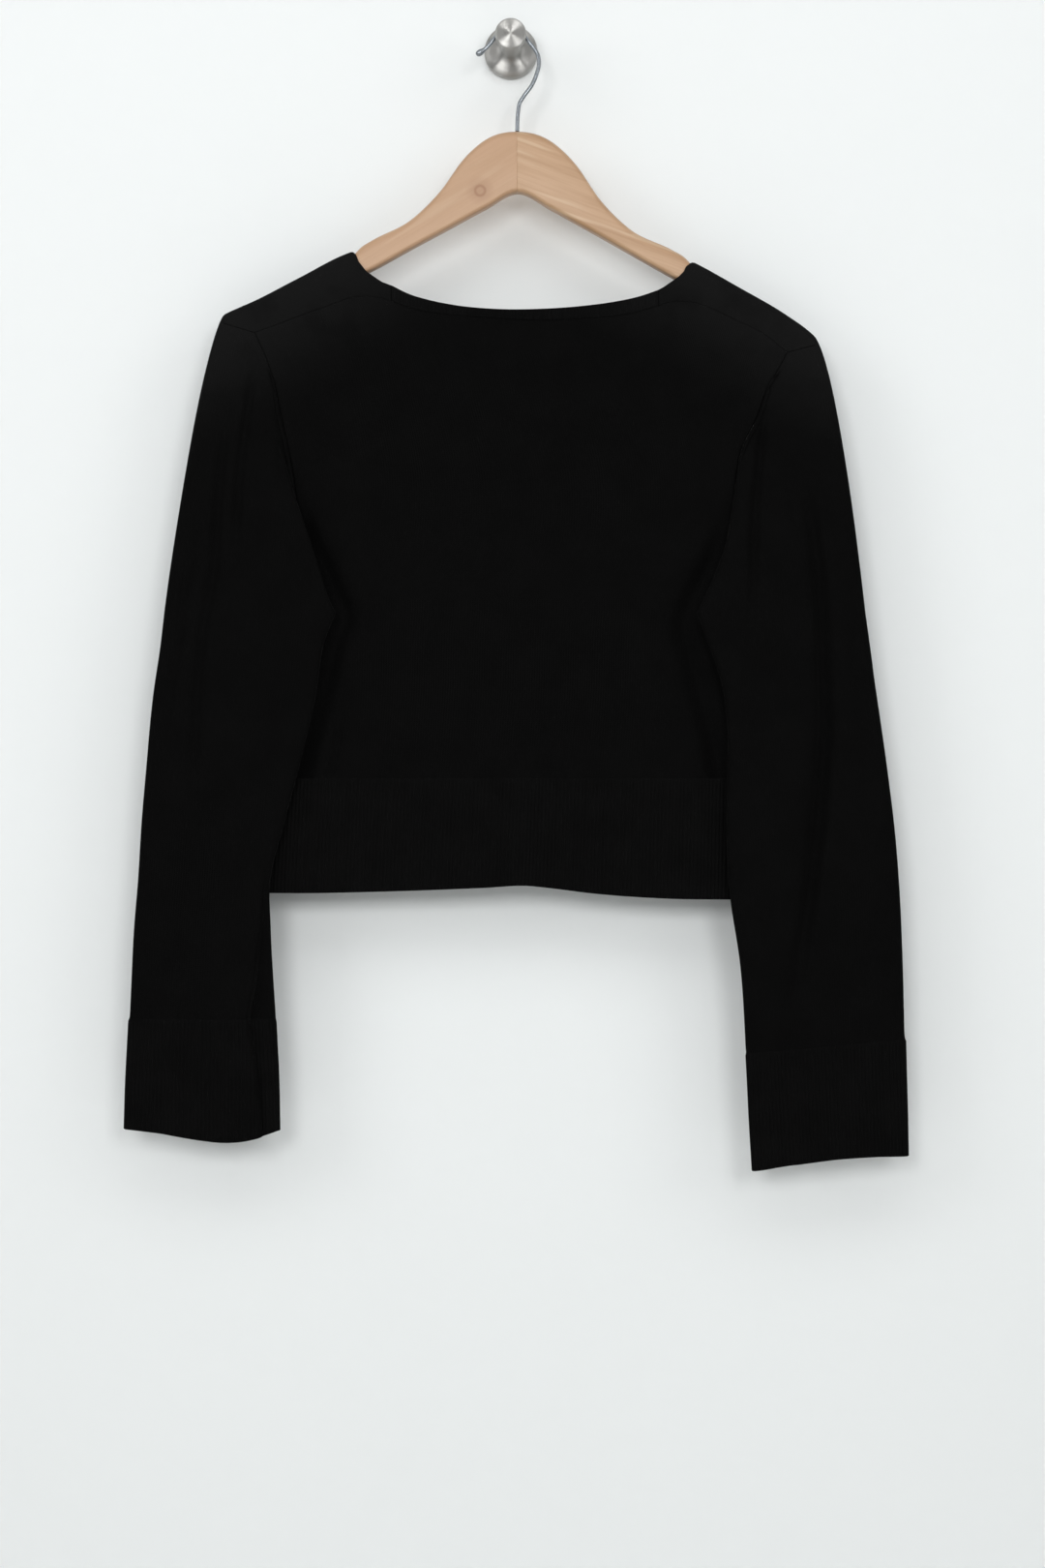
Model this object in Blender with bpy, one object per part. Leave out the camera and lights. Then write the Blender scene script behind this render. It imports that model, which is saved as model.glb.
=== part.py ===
"""A fine-knit cardigan, seen from its back, on a wooden hanger that hangs on a wall peg.

Frame: +Z up, the wall is the plane y = 0 and everything hangs at y < 0. The origin is the
middle of the peg's flat back. Left and right are as seen from in front of the wall, looking
along +Y, where the garment shows its back. Sizes below are in millimetres.
"""

from math import pi

import bmesh
import bpy
import numpy as np

MM = 0.001

# Cloth
KNIT = 1.5  # wall of the plain knit
RIB_WALL = 1.7  # wall of the ribs, under their ridges
RIB_RISE = 0.6  # how far a ridge stands up
RIB_PITCH = 2.6  # ridge to ridge
SEAM_GAP = 0.3
MID_Y = -38.0  # the plane of the hanger, which the garment hangs in
ARM_CLEAR = 0.3  # cloth to wood

# Front bands
BAND_WIDTH = 12.0
BAND_WALL = 1.5
BAND_RISE = 0.4
BAND_LIFT = RIB_WALL / 2 + RIB_RISE + SEAM_GAP + BAND_WALL / 2  # off the middle of the front

# Wood and steel
ARM_THICK = 12.0
JOINT_X = 4.6  # where the two halves of the hanger meet
WIRE_RADIUS = 1.45
STEM_RADIUS = 6.75
BUTTON_RADIUS = 6.0

SHOULDER_RADIUS = ARM_THICK / 2 + ARM_CLEAR + KNIT / 2  # middle of the cloth, over the arm

# Levels
RIB_TOP_Z = -528.6
HEM_Z = -607.0
BICEP_Z = -412.0
V_POINT_Z = -345.0
FRONT_X = -4.0  # the line where the fronts close


def table(names, rows):
    """A table with named columns."""
    return dict(zip(names.split(), np.array(rows, float).T))


# Top line of the shoulders and the arms of the hanger under it.
RIDGE = table(
    "x z",
    [
        (-208, -199.8),
        (-200, -195.8),
        (-183, -188.3),
        (-150, -171.3),
        (-117.4, -154.6),
        (-112.6, -152.8),
        (129.8, -160.2),
        (163, -178.6),
        (196, -197.9),
        (213, -210.2),
        (221, -217.7),
    ],
)

# Seam of the back: shoulder, neckband, shoulder.
BACK_SEAM = table(
    "x z",
    [
        (-182, -212.2),
        (-168, -207.2),
        (-136, -195.3),
        (-105, -186.4),
        (-93, -187.6),
        (-67, -196.0),
        (-27, -200.8),
        (20, -203.3),
        (53, -202.1),
        (85, -198.7),
        (103, -193.9),
        (116, -190.0),
        (129, -190.8),
        (162, -204.2),
        (178, -211.8),
        (196.8, -226.2),
    ],
)

NECK_EDGE = table(
    "x z",
    [
        (-84.4, -178.6),
        (-72.6, -184.4),
        (-57.7, -188.9),
        (-40, -192.4),
        (-10, -195.2),
        (24, -195.0),
        (53.4, -192.8),
        (72.9, -190.2),
        (92.4, -186.0),
        (104.7, -181.8),
    ],
)

# Side seam and armhole of the body at each side, from the hem up.
SIDE_LEFT = table(
    "z x",
    [
        (-616, -190.5),
        (-530, -186.0),
        (-470, -181.5),
        (-412, -179.0),
        (-401, -177.5),
        (-392, -167.0),
        (-371, -157.0),
        (-347, -153.0),
        (-320, -153.5),
        (-300, -157.0),
        (-271, -163.5),
        (-250, -167.5),
        (-230, -174.0),
        (-212, -182.0),
    ],
)

SIDE_RIGHT = table(
    "z x",
    [
        (-616, 176.5),
        (-530, 178.0),
        (-470, 179.5),
        (-414, 180.5),
        (-403, 179.0),
        (-393, 170.0),
        (-371, 163.0),
        (-345, 160.0),
        (-312, 160.5),
        (-297, 163.3),
        (-272, 175.3),
        (-251, 183.0),
        (-238, 190.5),
        (-226, 196.8),
    ],
)

# Each side's corners: shoulder tip, the join on the back where the shoulder seam meets the
# armhole, neck point, end of the neckband, and the levels on the armhole where the sleeve's
# fold starts and where the armpit is. Then how far the neck edge drops behind the neck point,
# and how much more the sleeve's handles stand off at its fold.
LEFT = {
    "out": -1,
    "tip_x": -204.0,
    "join": (-182.0, -212.2),
    "neck_x": -112.6,
    "band_end": -84.4,
    "fold_z": -306.0,
    "armpit_z": -401.0,
    "neck_drop": 7.8,
    "fold_pull": {"away_1": 9.0, "away_2": 9.8, "up_2": 6.0},
    "side": SIDE_LEFT,
}
RIGHT = {
    "out": 1,
    "tip_x": 216.4,
    "join": (196.8, -226.2),
    "neck_x": 129.8,
    "band_end": 104.7,
    "fold_z": -308.0,
    "armpit_z": -403.0,
    "neck_drop": 3.9,
    "fold_pull": {"away_1": -2.5, "up_1": -6.0, "away_2": 10.8, "up_2": 7.0},
    "side": SIDE_RIGHT,
}

# Half the garment's depth, at its middle and at its sides.
DEPTH = table(
    "z middle edge",
    [
        (-620, 9.5, 0.0),
        (-528, 9.0, 0.0),
        (-404, 8.5, 0.0),
        (-385, 8.5, 1.6),
        (-350, 8.3, 5.2),
        (-310, 8.0, 6.9),
        (-250, SHOULDER_RADIUS, SHOULDER_RADIUS),
        (-150, SHOULDER_RADIUS, SHOULDER_RADIUS),
    ],
)

# Lower edge of the hem, and how far the hem waves towards the wall.
HEM = table(
    "x z wave",
    [
        (-191, -610.0, 0.0),
        (-150, -610.2, -1.0),
        (-85, -609.0, 1.0),
        (-19, -606.4, -1.5),
        (12, -605.0, -1.5),
        (26, -606.5, 2.0),
        (58, -610.4, 1.0),
        (110, -614.0, -1.0),
        (177, -614.8, 0.0),
    ],
)

# Sleeves below the upper arm: outer and inner edge, the line of the main fold, and how far
# the cloth drops there. The left one steps back behind its fold, the right one has a trough.
SLEEVE_COLUMNS = "z_out z_in x_out x_in x_fold y_out y_in half_depth drop"
SLEEVE_LEFT = table(
    SLEEVE_COLUMNS,
    [
        (-412.0, -412.0, -245.0, -124.0, -140.0, -47.0, -58.0, 7.0, 0.0),
        (-431.0, -431.0, -247.2, -131.5, -147.0, -47.0, -58.0, 7.0, 0.0),
        (-470.0, -470.0, -253.0, -138.0, -154.0, -47.0, -57.5, 7.0, 0.0),
        (-525.0, -525.0, -258.2, -151.0, -165.0, -47.0, -57.0, 7.0, 0.0),
        (-560.0, -560.0, -261.3, -160.5, -171.0, -47.0, -57.0, 7.0, 0.0),
        (-600.0, -600.0, -264.0, -170.3, -175.0, -47.0, -57.0, 7.0, 1.5),
        (-636.0, -636.0, -267.0, -170.0, -178.0, -47.0, -56.0, 7.5, 7.0),
        (-676.0, -676.0, -269.0, -168.0, -183.0, -46.0, -54.0, 8.0, 9.0),
        (-698.8, -698.8, -270.2, -166.8, -187.0, -45.0, -52.0, 8.0, 9.0),
        (-735.0, -735.5, -272.3, -165.2, -182.0, -44.0, -51.0, 8.0, 8.5),
        (-778.0, -778.2, -273.8, -164.4, -178.0, -44.0, -50.0, 8.0, 8.0),
    ],
)
SLEEVE_RIGHT = table(
    SLEEVE_COLUMNS,
    [
        (-412.0, -412.0, 251.3, 131.8, 222.0, -47.0, -58.0, 7.0, 2.5),
        (-438.0, -438.0, 255.0, 141.6, 222.0, -47.0, -58.0, 7.0, 3.0),
        (-464.0, -465.0, 258.4, 150.2, 222.5, -47.0, -58.0, 7.0, 3.8),
        (-484.0, -486.0, 261.3, 153.0, 222.5, -47.0, -57.5, 7.0, 4.2),
        (-530.0, -534.0, 267.7, 153.2, 218.6, -47.0, -57.0, 7.0, 4.0),
        (-566.0, -571.0, 272.1, 153.0, 215.0, -47.0, -57.0, 7.0, 3.5),
        (-604.0, -610.0, 275.2, 155.6, 210.5, -47.0, -56.0, 7.0, 2.8),
        (-650.0, -658.0, 277.5, 162.8, 204.5, -46.0, -54.0, 7.5, 2.2),
        (-713.2, -722.8, 279.6, 167.3, 195.5, -45.0, -52.0, 8.0, 2.4),
        (-757.0, -766.5, 280.9, 169.6, 192.0, -44.0, -51.0, 8.0, 2.6),
        (-797.2, -806.8, 281.8, 172.0, 190.0, -44.0, -50.0, 8.0, 2.6),
    ],
)

CUFF_ROW = 8  # the row of both tables where the cuff starts
STEP_WIDTH = 2.5
TROUGH_WIDTH = 9.0

# How far the lower edge of each cuff bows down, and the skew of the bow.
CUFF_BOW = {"left": (8.0, 1.7), "right": (-3.4, 0.87)}

# Rows of a sleeve's wall: shares of the cap's curve, then shares of the way to the cuff.
CAP_SHARES = [0, 0.04, 0.11, 0.2, 0.32, 0.46, 0.6, 0.74, 0.88, 1]
ARM_SHARES = [0.1, 0.22, 0.34, 0.46, 0.58, 0.7, 0.8, 0.9, 1]

# Columns of a sleeve's wall, counted from its outer edge round the viewer's side: to the fold
# line, across it, on to the inner edge, and back along the wall side.
TO_FOLD, ACROSS_FOLD, TO_INNER, BACK_AGAIN = 10, 1, 5, 14
ROUND = TO_FOLD + ACROSS_FOLD + TO_INNER + BACK_AGAIN
INNER_COLUMN = TO_FOLD + ACROSS_FOLD + TO_INNER
ARMPIT_COLUMN = INNER_COLUMN + 7

# Where each column starts: off the panel's edge, in its plane (off) and out of it (near).
CAP_START = table(
    "column off near",
    [
        (0, 0.5, 0.0),
        (15, 0.6, 0.0),
        (16, 1.2, 1.6),
        (17, 0.0, 2.6),
        (22, 0.0, 2.6),
        (23, 2.4, 1.0),
        (24, 1.0, 0.0),
        (30, 0.5, 0.0),
    ],
)

# Each column runs from there to the upper arm on a curve with two handles, given towards the
# outside of that sleeve (away), the viewer (near) and up.
CAP = table(
    "column away_1 near_1 up_1 away_2 near_2 up_2",
    [
        (0, 14.3, 2.0, -22.0, -7.8, 0.0, 62.0),
        (6, 13.0, 3.0, -16.0, -6.0, 0.0, 60.0),
        (12, 10.0, 2.5, -18.0, -2.0, 0.0, 40.0),
        (15, 5.0, 5.0, -24.0, 2.5, 0.0, 26.0),
        (16, 3.0, 6.0, -26.0, 4.2, 0.0, 20.0),
        (18, -5.0, 4.0, -12.0, 1.0, 0.0, 14.0),
        (21, -2.0, 3.0, -5.0, 0.0, 0.0, 8.0),
        (23, 3.0, 2.0, -3.0, 0.0, 0.0, 4.0),
        (26, 16.0, 0.0, -8.0, 0.0, -3.0, 30.0),
        (30, 14.3, 2.0, -22.0, -7.8, 0.0, 62.0),
    ],
)

# Hanger: top and lower edge.
ARMS = table(
    "x top bottom",
    [
        (-199, -203.0, -206.5),
        (-196, -198.7, -213.0),
        (-183, -191.5, -206.0),
        (-150, -174.5, -191.0),
        (-112.6, -156.4, -174.0),
        (-107, -150.3, -171.0),
        (-100, -145.8, -167.5),
        (-69, -128.8, -150.5),
        (-49, -108.5, -139.8),
        (-34, -87.6, -131.6),
        (-17, -72.8, -122.4),
        (4.6, -67.6, -111.6),
        (29, -74.6, -123.4),
        (46, -90.4, -132.8),
        (64, -116.3, -142.8),
        (84, -136.2, -154.2),
        (116, -152.4, -172.2),
        (124, -157.2, -176.6),
        (129.8, -163.3, -180.0),
        (163, -181.4, -198.0),
        (196, -200.7, -215.6),
        (206, -209.0, -223.0),
        (209, -213.5, -218.0),
    ],
)

ARM_STATIONS = [
    *(-175, -166, -158, -140, -131, -122, -88, -76, -59, -41, -26, -9),
    *(17, 37, 55, 74, 100, 138, 147, 155, 171, 180, 188),
]
ARM_DROP = 2.2  # top of the arm below the cloth's top line

# The arms thin out towards their tips.
TAPER = table("x share", [(0, 1.0), (180, 1.0), (196, 0.93), (204, 0.8), (209, 0.5)])

# Hook, from its bead end over the stem of the peg and down to the hanger.
HOOK = table(
    "x z",
    [
        (-24.6, -12.6),
        (-19.5, -9.4),
        (-11.8, -1.2),
        (-8.0, 3.4),
        (-4.3, 7.5),
        (0.0, 8.7),
        (4.3, 7.5),
        (7.8, 3.7),
        (11.2, -1.2),
        (16.0, -7.2),
        (19.4, -12.8),
        (20.2, -19.0),
        (18.8, -25.4),
        (15.2, -34.0),
        (9.2, -42.4),
        (6.3, -47.4),
        (5.4, -52.5),
        (4.8, -60.0),
        (4.7, -67.2),
    ],
)

# Peg: radius at each distance from the wall.
PEG = table(
    "away radius",
    [
        (0.0, 19.3),
        (4.0, 19.3),
        (6.5, 18.2),
        (8.0, 15.5),
        (8.8, 10.0),
        (10.5, 7.6),
        (14.0, STEM_RADIUS),
        (42.0, STEM_RADIUS),
        (42.6, 10.2),
        (43.4, 11.0),
        (47.0, 11.0),
        (48.0, 10.2),
    ],
)


# Button: radius at each distance from the band.
BUTTON = table(
    "away radius",
    [(0.0, 5.2), (0.8, BUTTON_RADIUS), (2.4, BUTTON_RADIUS), (3.0, 5.2)],
)

# Where the armpit and the start of the sleeve's fold come on the way up a side, and the rows
# of the panels' walls.
ARMPIT_SHARE, FOLD_SHARE = 0.41, 0.7
BACK_ROWS = [
    *(0, 0.2),
    *np.linspace(ARMPIT_SHARE, FOLD_SHARE, 8),
    *np.linspace(FOLD_SHARE, 1, 7)[1:],
]
FRONT_ROWS = [
    *(0, 0.14, 0.28),
    *np.linspace(ARMPIT_SHARE, 1, 7),
    *(1.17, 1.33, 1.5, 1.67, 1.83),
    *(2, 2.33, 2.67, 2.83, 3),
]


def smooth(knots, values, at):
    """A smooth curve through the values, read at the given places."""
    knots = np.asarray(knots, float)
    values = np.asarray(values, float)
    slopes = np.gradient(values, knots)
    at = np.clip(np.asarray(at, float), knots[0], knots[-1])
    i = np.clip(np.searchsorted(knots, at, side="right") - 1, 0, len(knots) - 2)
    step = knots[i + 1] - knots[i]
    t = (at - knots[i]) / step
    return (
        values[i] * (1 + 2 * t) * (1 - t) ** 2
        + values[i + 1] * (3 - 2 * t) * t**2
        + slopes[i] * step * t * (1 - t) ** 2
        - slopes[i + 1] * step * t**2 * (1 - t)
    )


def blend(a, b, share):
    return a + (b - a) * share


def ease(t):
    t = np.clip(t, 0, 1)
    return t * t * (3 - 2 * t)


def unit(vectors):
    return vectors / np.maximum(np.linalg.norm(vectors, axis=-1, keepdims=True), 1e-9)


def rounded(share, power=4.0):
    """0 at the fold of a side, where share is 1, rising steeply to 1 at the middle."""
    return (1 - np.clip(np.abs(share), 0, 1) ** power) ** (1 / power)


def ridge(x):
    return smooth(RIDGE["x"], RIDGE["z"], x)


def back_seam(x):
    return smooth(BACK_SEAM["x"], BACK_SEAM["z"], x)


def side_level(corner, v, top):
    """Levels up a side, so that the armpit and the sleeve's fold come at their own shares."""
    levels = [RIB_TOP_Z, corner["armpit_z"], corner["fold_z"], top]
    return np.interp(v, [0, ARMPIT_SHARE, FOLD_SHARE, 1], levels)


def side_x(corner, z):
    return smooth(corner["side"]["z"], corner["side"]["x"], z)


def half_depth(z, share):
    """Half the depth of the body at a level; share is 0 at the middle and 1 at a side."""
    edge = np.interp(z, DEPTH["z"], DEPTH["edge"])
    middle = np.interp(z, DEPTH["z"], DEPTH["middle"])
    open_side = 1 - np.clip(np.abs(share), 0, 1) ** 8
    return edge + (middle - edge) * blend(rounded(share), open_side, ease(edge))


def hem_wave(x, z):
    """The hem's gentle waves, which fade out above it."""
    return smooth(HEM["x"], HEM["wave"], x) * ease((-430 - z) / 150)


# Surfaces: each gives the middle of a wall for u across and v up.


def back_surface(u, v):
    """The back panel, from the rib up to the seam."""
    z_left = side_level(LEFT, v, LEFT["join"][1] - SEAM_GAP)
    z_right = side_level(RIGHT, v, RIGHT["join"][1] - SEAM_GAP)
    x = blend(side_x(LEFT, z_left), side_x(RIGHT, z_right), u)
    flat_top = blend(LEFT["join"][1], RIGHT["join"][1], u)
    seam = back_seam(blend(LEFT["join"][0], RIGHT["join"][0], u))
    z = blend(z_left, z_right, u) + v**2 * (seam - flat_top)
    level = blend(z_left, z_right, u)
    y = MID_Y - SEAM_GAP / 2 - half_depth(level, 2 * u - 1) + hem_wave(x, z)
    return np.stack([x, y, z], -1)


def back_hem_surface(u, v):
    """The hem's back, from its lower edge up to the panel."""
    x_low = blend(side_x(LEFT, HEM_Z), side_x(RIGHT, HEM_Z), u)
    x_high = blend(side_x(LEFT, RIB_TOP_Z), side_x(RIGHT, RIB_TOP_Z), u)
    x = blend(x_low, x_high, v)
    z = blend(smooth(HEM["x"], HEM["z"], x), RIB_TOP_Z - SEAM_GAP, v)
    y = MID_Y - SEAM_GAP / 2 - half_depth(z, 2 * u - 1) + hem_wave(x, z)
    return np.stack([x, y, z], -1)


def shoulder_foot(x):
    """Where the cloth starts to bend over the arm of the hanger."""
    return ridge(x) - KNIT / 2 - SHOULDER_RADIUS


def armhole_x(corner, z):
    """The front's armhole edge, which runs up to the shoulder tip."""
    low = corner["armpit_z"] + 150
    high = shoulder_foot(corner["tip_x"])
    share = np.clip((z - low) / (high - low), 0, 1)
    start = side_x(corner, low)
    return side_x(corner, np.minimum(z, low)) + (corner["tip_x"] - start) * share**1.6


def front_edge_x(corner, z, closed):
    """An edge of the front opening: straight up the middle, then the V to the neck point."""
    high = shoulder_foot(corner["neck_x"])
    share = np.clip((z - V_POINT_Z) / (high - V_POINT_Z), 0, 1)
    return closed + (corner["neck_x"] - closed) * share**1.15


def front_y(x, z, share):
    return MID_Y + SEAM_GAP / 2 + half_depth(z, share) + 0.5 * hem_wave(x, z)


def front_surface(corner):
    """One front: v 0 to 1 up the front, 1 to 2 over the shoulder, 2 to 3 down to the seam."""
    out, join = corner["out"], corner["join"]
    tip_z, neck_z = shoulder_foot(corner["tip_x"]), shoulder_foot(corner["neck_x"])
    end = corner["band_end"] + out * SEAM_GAP
    end_top = smooth(NECK_EDGE["x"], NECK_EDGE["z"], end)
    neck_path = table(
        "down x z",
        [
            (0.0, corner["neck_x"], neck_z),
            (0.3, corner["neck_x"] - out * 10, neck_z - corner["neck_drop"]),
            (0.62, corner["neck_x"] - out * 21, end_top + 2.4),
            (0.8, end, end_top),
            (1.0, end, back_seam(end) + SEAM_GAP),
        ],
    )

    def surface(u, v):
        low, over, down = np.clip(v, 0, 1), np.clip(v - 1, 0, 1), np.clip(v - 2, 0, 1)
        x_top = blend(corner["tip_x"], corner["neck_x"], u)
        foot = shoulder_foot(x_top)

        z_side, z_neck = side_level(corner, low, tip_z), blend(RIB_TOP_Z, neck_z, low)
        level = blend(z_side, z_neck, u)
        edge = front_edge_x(corner, z_neck, FRONT_X + out * SEAM_GAP)
        x = blend(armhole_x(corner, z_side), edge, u)
        z = level + low**3 * (foot - blend(tip_z, neck_z, u))
        up_front = np.stack([x, front_y(x, level, 1 - u), z], -1)

        angle = over * pi
        y = MID_Y + SHOULDER_RADIUS * np.cos(angle)
        over_arm = np.stack([x_top, y, foot + SHOULDER_RADIUS * np.sin(angle)], -1)

        x_seam = blend(join[0], end, u)
        x = blend(x_top, x_seam, down)
        z = blend(foot, back_seam(x_seam) + SEAM_GAP, down)
        for edge, part in (("x", 0), ("z", 1)):
            path = np.interp(down, neck_path["down"], neck_path[edge])
            bow = u**2 * (path - blend(neck_path[edge][0], neck_path[edge][-1], down))
            x, z = (x + bow, z) if part == 0 else (x, z + bow)
        down_back = np.stack([x, np.full_like(x, MID_Y - SHOULDER_RADIUS), z], -1)

        v = v[..., None]
        return np.where(v <= 1, up_front, np.where(v <= 2, over_arm, down_back))

    return surface


def front_hem_surface(corner):
    """The hem of one front, u from the side seam to the front edge."""
    closed = FRONT_X + corner["out"] * SEAM_GAP

    def surface(u, v):
        x_low = blend(side_x(corner, HEM_Z), closed, u)
        x_high = blend(side_x(corner, RIB_TOP_Z), closed, u)
        x = blend(x_low, x_high, v)
        z = blend(smooth(HEM["x"], HEM["z"], x), RIB_TOP_Z - SEAM_GAP, v)
        return np.stack([x, front_y(x, z, 1 - u), z], -1)

    return surface


def neckband_surface(u, v):
    """The back neckband, from its seam up to the neck edge."""
    x = blend(LEFT["band_end"], RIGHT["band_end"], u)
    z = blend(back_seam(x) + SEAM_GAP, smooth(NECK_EDGE["x"], NECK_EDGE["z"], x), v)
    return np.stack([x, np.full_like(x, MID_Y - SHOULDER_RADIUS), z], -1)


def band_surface(corner, over):
    """A front band, lying on its front's edge; the one that is over laps the other."""
    out = corner["out"]
    top = shoulder_foot(corner["neck_x"]) - 1.0

    def surface(u, v):
        z = blend(smooth(HEM["x"], HEM["z"], FRONT_X), top, v)
        inner = front_edge_x(corner, z, FRONT_X - out * BAND_WIDTH / 2)
        slant = blend(1.0, 1.16, ease((z - V_POINT_Z) / 30))
        x = inner + out * BAND_WIDTH * slant * (1 - u)
        lap = BAND_WALL + BAND_RISE + SEAM_GAP if over else 0.0
        lift = BAND_LIFT + lap * ease((V_POINT_Z + 60 - z) / 40)
        return np.stack([x, front_y(x, z, 0.0) + lift, z], -1)

    return surface


# Sleeves


def sleeve_row(sleeve, z_out):
    """The sleeve's table, read at one level."""
    return {name: smooth(-sleeve["z_out"], sleeve[name], -z_out) for name in sleeve}


def sleeve_section(sleeve, kind, z_out):
    """The sleeve's section at a level, a closed line from the outer edge, viewer's side first."""
    row = sleeve_row(sleeve, z_out)
    angle = np.linspace(0, 2 * pi, 361)
    power = 2 / 2.5
    along = np.sign(np.cos(angle)) * np.abs(np.cos(angle)) ** power
    thick = np.sign(np.sin(angle)) * np.abs(np.sin(angle)) ** power
    across = (1 - along) / 2
    width = abs(row["x_out"] - row["x_in"])
    fold = abs(row["x_fold"] - row["x_out"]) / width
    past = (across - fold) * width
    if kind == "step":
        dip = ease(past / STEP_WIDTH)
    else:
        dip = np.exp(-((past / TROUGH_WIDTH) ** 2))
    depth = row["half_depth"] - np.where(thick > 0, row["drop"] * dip, 0)
    line = np.stack(
        [
            blend(row["x_out"], row["x_in"], across),
            blend(row["y_out"], row["y_in"], across) - depth * thick,
            blend(z_out, row["z_in"], across),
        ],
        -1,
    )
    to_fold = np.searchsorted(across[:181], fold)
    length = np.append(0, np.cumsum(np.linalg.norm(np.diff(line, axis=0), axis=1)))
    return line, length, length[to_fold], length[180]


def sleeve_points(sleeve, kind, z_out):
    """One row of the sleeve's wall, with columns that follow its fold and edges."""
    line, length, at_fold, at_inner = sleeve_section(sleeve, kind, z_out)
    side = STEP_WIDTH / 2 + 0.6 if kind == "step" else 0.0
    knots = [0, TO_FOLD, TO_FOLD + ACROSS_FOLD, INNER_COLUMN, ROUND]
    places = [0, at_fold - side / 3, at_fold + STEP_WIDTH + side, at_inner, length[-1]]
    at = np.interp(np.arange(ROUND), knots, places)
    return np.stack([np.interp(at, length, line[:, k]) for k in range(3)], -1)


def armhole(corner):
    """The panels' edge round the arm, from the top of the shoulder down the back, a point for
    each column: points, unit normals of the panels, and the directions out of their edge."""
    over = [1.5, *np.linspace(2, 3, 4)[:-1]]
    back = [
        *np.linspace(1, FOLD_SHARE, INNER_COLUMN - 3)[:-1],
        *np.linspace(FOLD_SHARE, ARMPIT_SHARE, ARMPIT_COLUMN - INNER_COLUMN + 1),
    ]
    front = np.linspace(ARMPIT_SHARE, 1, ROUND - ARMPIT_COLUMN)[1:]
    side = 0 if corner["out"] < 0 else 1
    over_arm, over_normal = sample(front_surface(corner), [0], over)
    down, down_normal = sample(back_surface, [side], back)
    up, up_normal = sample(front_surface(corner), [0], front)
    line = np.concatenate([over_arm, down, up])[:, 0]
    out = corner["out"]
    normal = np.concatenate([out * over_normal, down_normal, out * up_normal])[:, 0]
    tangent = np.roll(line, -1, 0) - np.roll(line, 1, 0)
    off = unit(np.cross(tangent, normal))
    off = off * np.sign(off @ (out, 0, -0.3))[:, None]
    off[ARMPIT_COLUMN] = (out, 0, 0)
    return line, normal, off


def clear_of_back(points):
    """Brings the points of a sleeve in front of the body's back where they cross it."""
    x, z = points[..., 0], points[..., 2]
    left, right = side_x(LEFT, z) - 2.4, side_x(RIGHT, z) + 2.4
    share = (2 * x - left - right) / (right - left)
    wall = np.where(z < RIB_TOP_Z + 8, RIB_WALL / 2 + RIB_RISE, KNIT / 2)
    limit = MID_Y - SEAM_GAP / 2 - half_depth(z, share) + hem_wave(x, z)
    limit = limit - wall - SEAM_GAP - 0.1 - KNIT / 2
    crosses = (np.abs(share) < 1) & (z > -625)
    points[..., 1] = np.where(crosses, np.minimum(points[..., 1], limit), points[..., 1])
    return points


def sleeve_grid(corner, sleeve, kind):
    """The middle of the sleeve's wall, from the armhole to the cuff."""
    edge, facing, off = armhole(corner)
    end = sleeve_points(sleeve, kind, BICEP_Z)
    columns = np.arange(ROUND)
    read = {name: smooth(CAP["column"], CAP[name], columns) for name in CAP}
    near_fold = np.exp(-(((columns - INNER_COLUMN) / 1.6) ** 2))
    for name, pull in corner["fold_pull"].items():
        read[name] = read[name] + pull * near_fold

    def handle(number):
        away = corner["out"] * read[f"away_{number}"]
        return np.stack([away, -read[f"near_{number}"], read[f"up_{number}"]], -1)

    start = edge
    for name, direction in (("off", off), ("near", facing)):
        start = start + direction * np.interp(columns, CAP_START["column"], CAP_START[name])[:, None]
    first, second = start + handle(1), end + handle(2)
    rows = []
    for t in CAP_SHARES:
        row = start * (1 - t) ** 3 + 3 * first * t * (1 - t) ** 2
        row = row + 3 * second * t**2 * (1 - t) + end * t**3
        if t > 0:
            row[INNER_COLUMN + 1 :] = clear_of_back(row[INNER_COLUMN + 1 :])
        rows.append(row)
    cuff_top = sleeve["z_out"][CUFF_ROW] + SEAM_GAP
    for share in ARM_SHARES:
        row = sleeve_points(sleeve, kind, blend(BICEP_Z, cuff_top, share))
        row[INNER_COLUMN + 1 :] = clear_of_back(row[INNER_COLUMN + 1 :])
        rows.append(row)
    grid = np.array(rows)
    normal = tube_normals(grid)
    flat = (columns < INNER_COLUMN) | (columns > ARMPIT_COLUMN)
    along = np.sign(np.sum(normal[0] * facing, -1))[:, None] * facing
    normal[0] = np.where(flat[:, None], along, normal[0])
    return grid, normal


def cuff_grid(sleeve, kind, bow):
    """The middle of a cuff's wall: two columns for each rib."""
    rows = []
    for z_out in sleeve["z_out"][CUFF_ROW:]:
        line, length, _, _ = sleeve_section(sleeve, kind, z_out)
        if z_out == sleeve["z_out"][-1]:
            across = (line[:, 0] - line[0, 0]) / (line[180, 0] - line[0, 0])
            line[:, 2] -= bow[0] * np.sin(pi * np.clip(across, 0, 1) ** bow[1])
        count = 2 * round(length[-1] / RIB_PITCH) if not rows else len(rows[0])
        at = np.arange(count) / count * length[-1]
        rows.append(np.stack([np.interp(at, length, line[:, k]) for k in range(3)], -1))
    return np.array(rows)


# Meshes


def tube_normals(grid):
    """Unit normals of a tube's grid of points, rows by columns."""
    across = np.roll(grid, -1, 1) - np.roll(grid, 1, 1)
    return unit(np.cross(across, np.gradient(grid, axis=0)))


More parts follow.
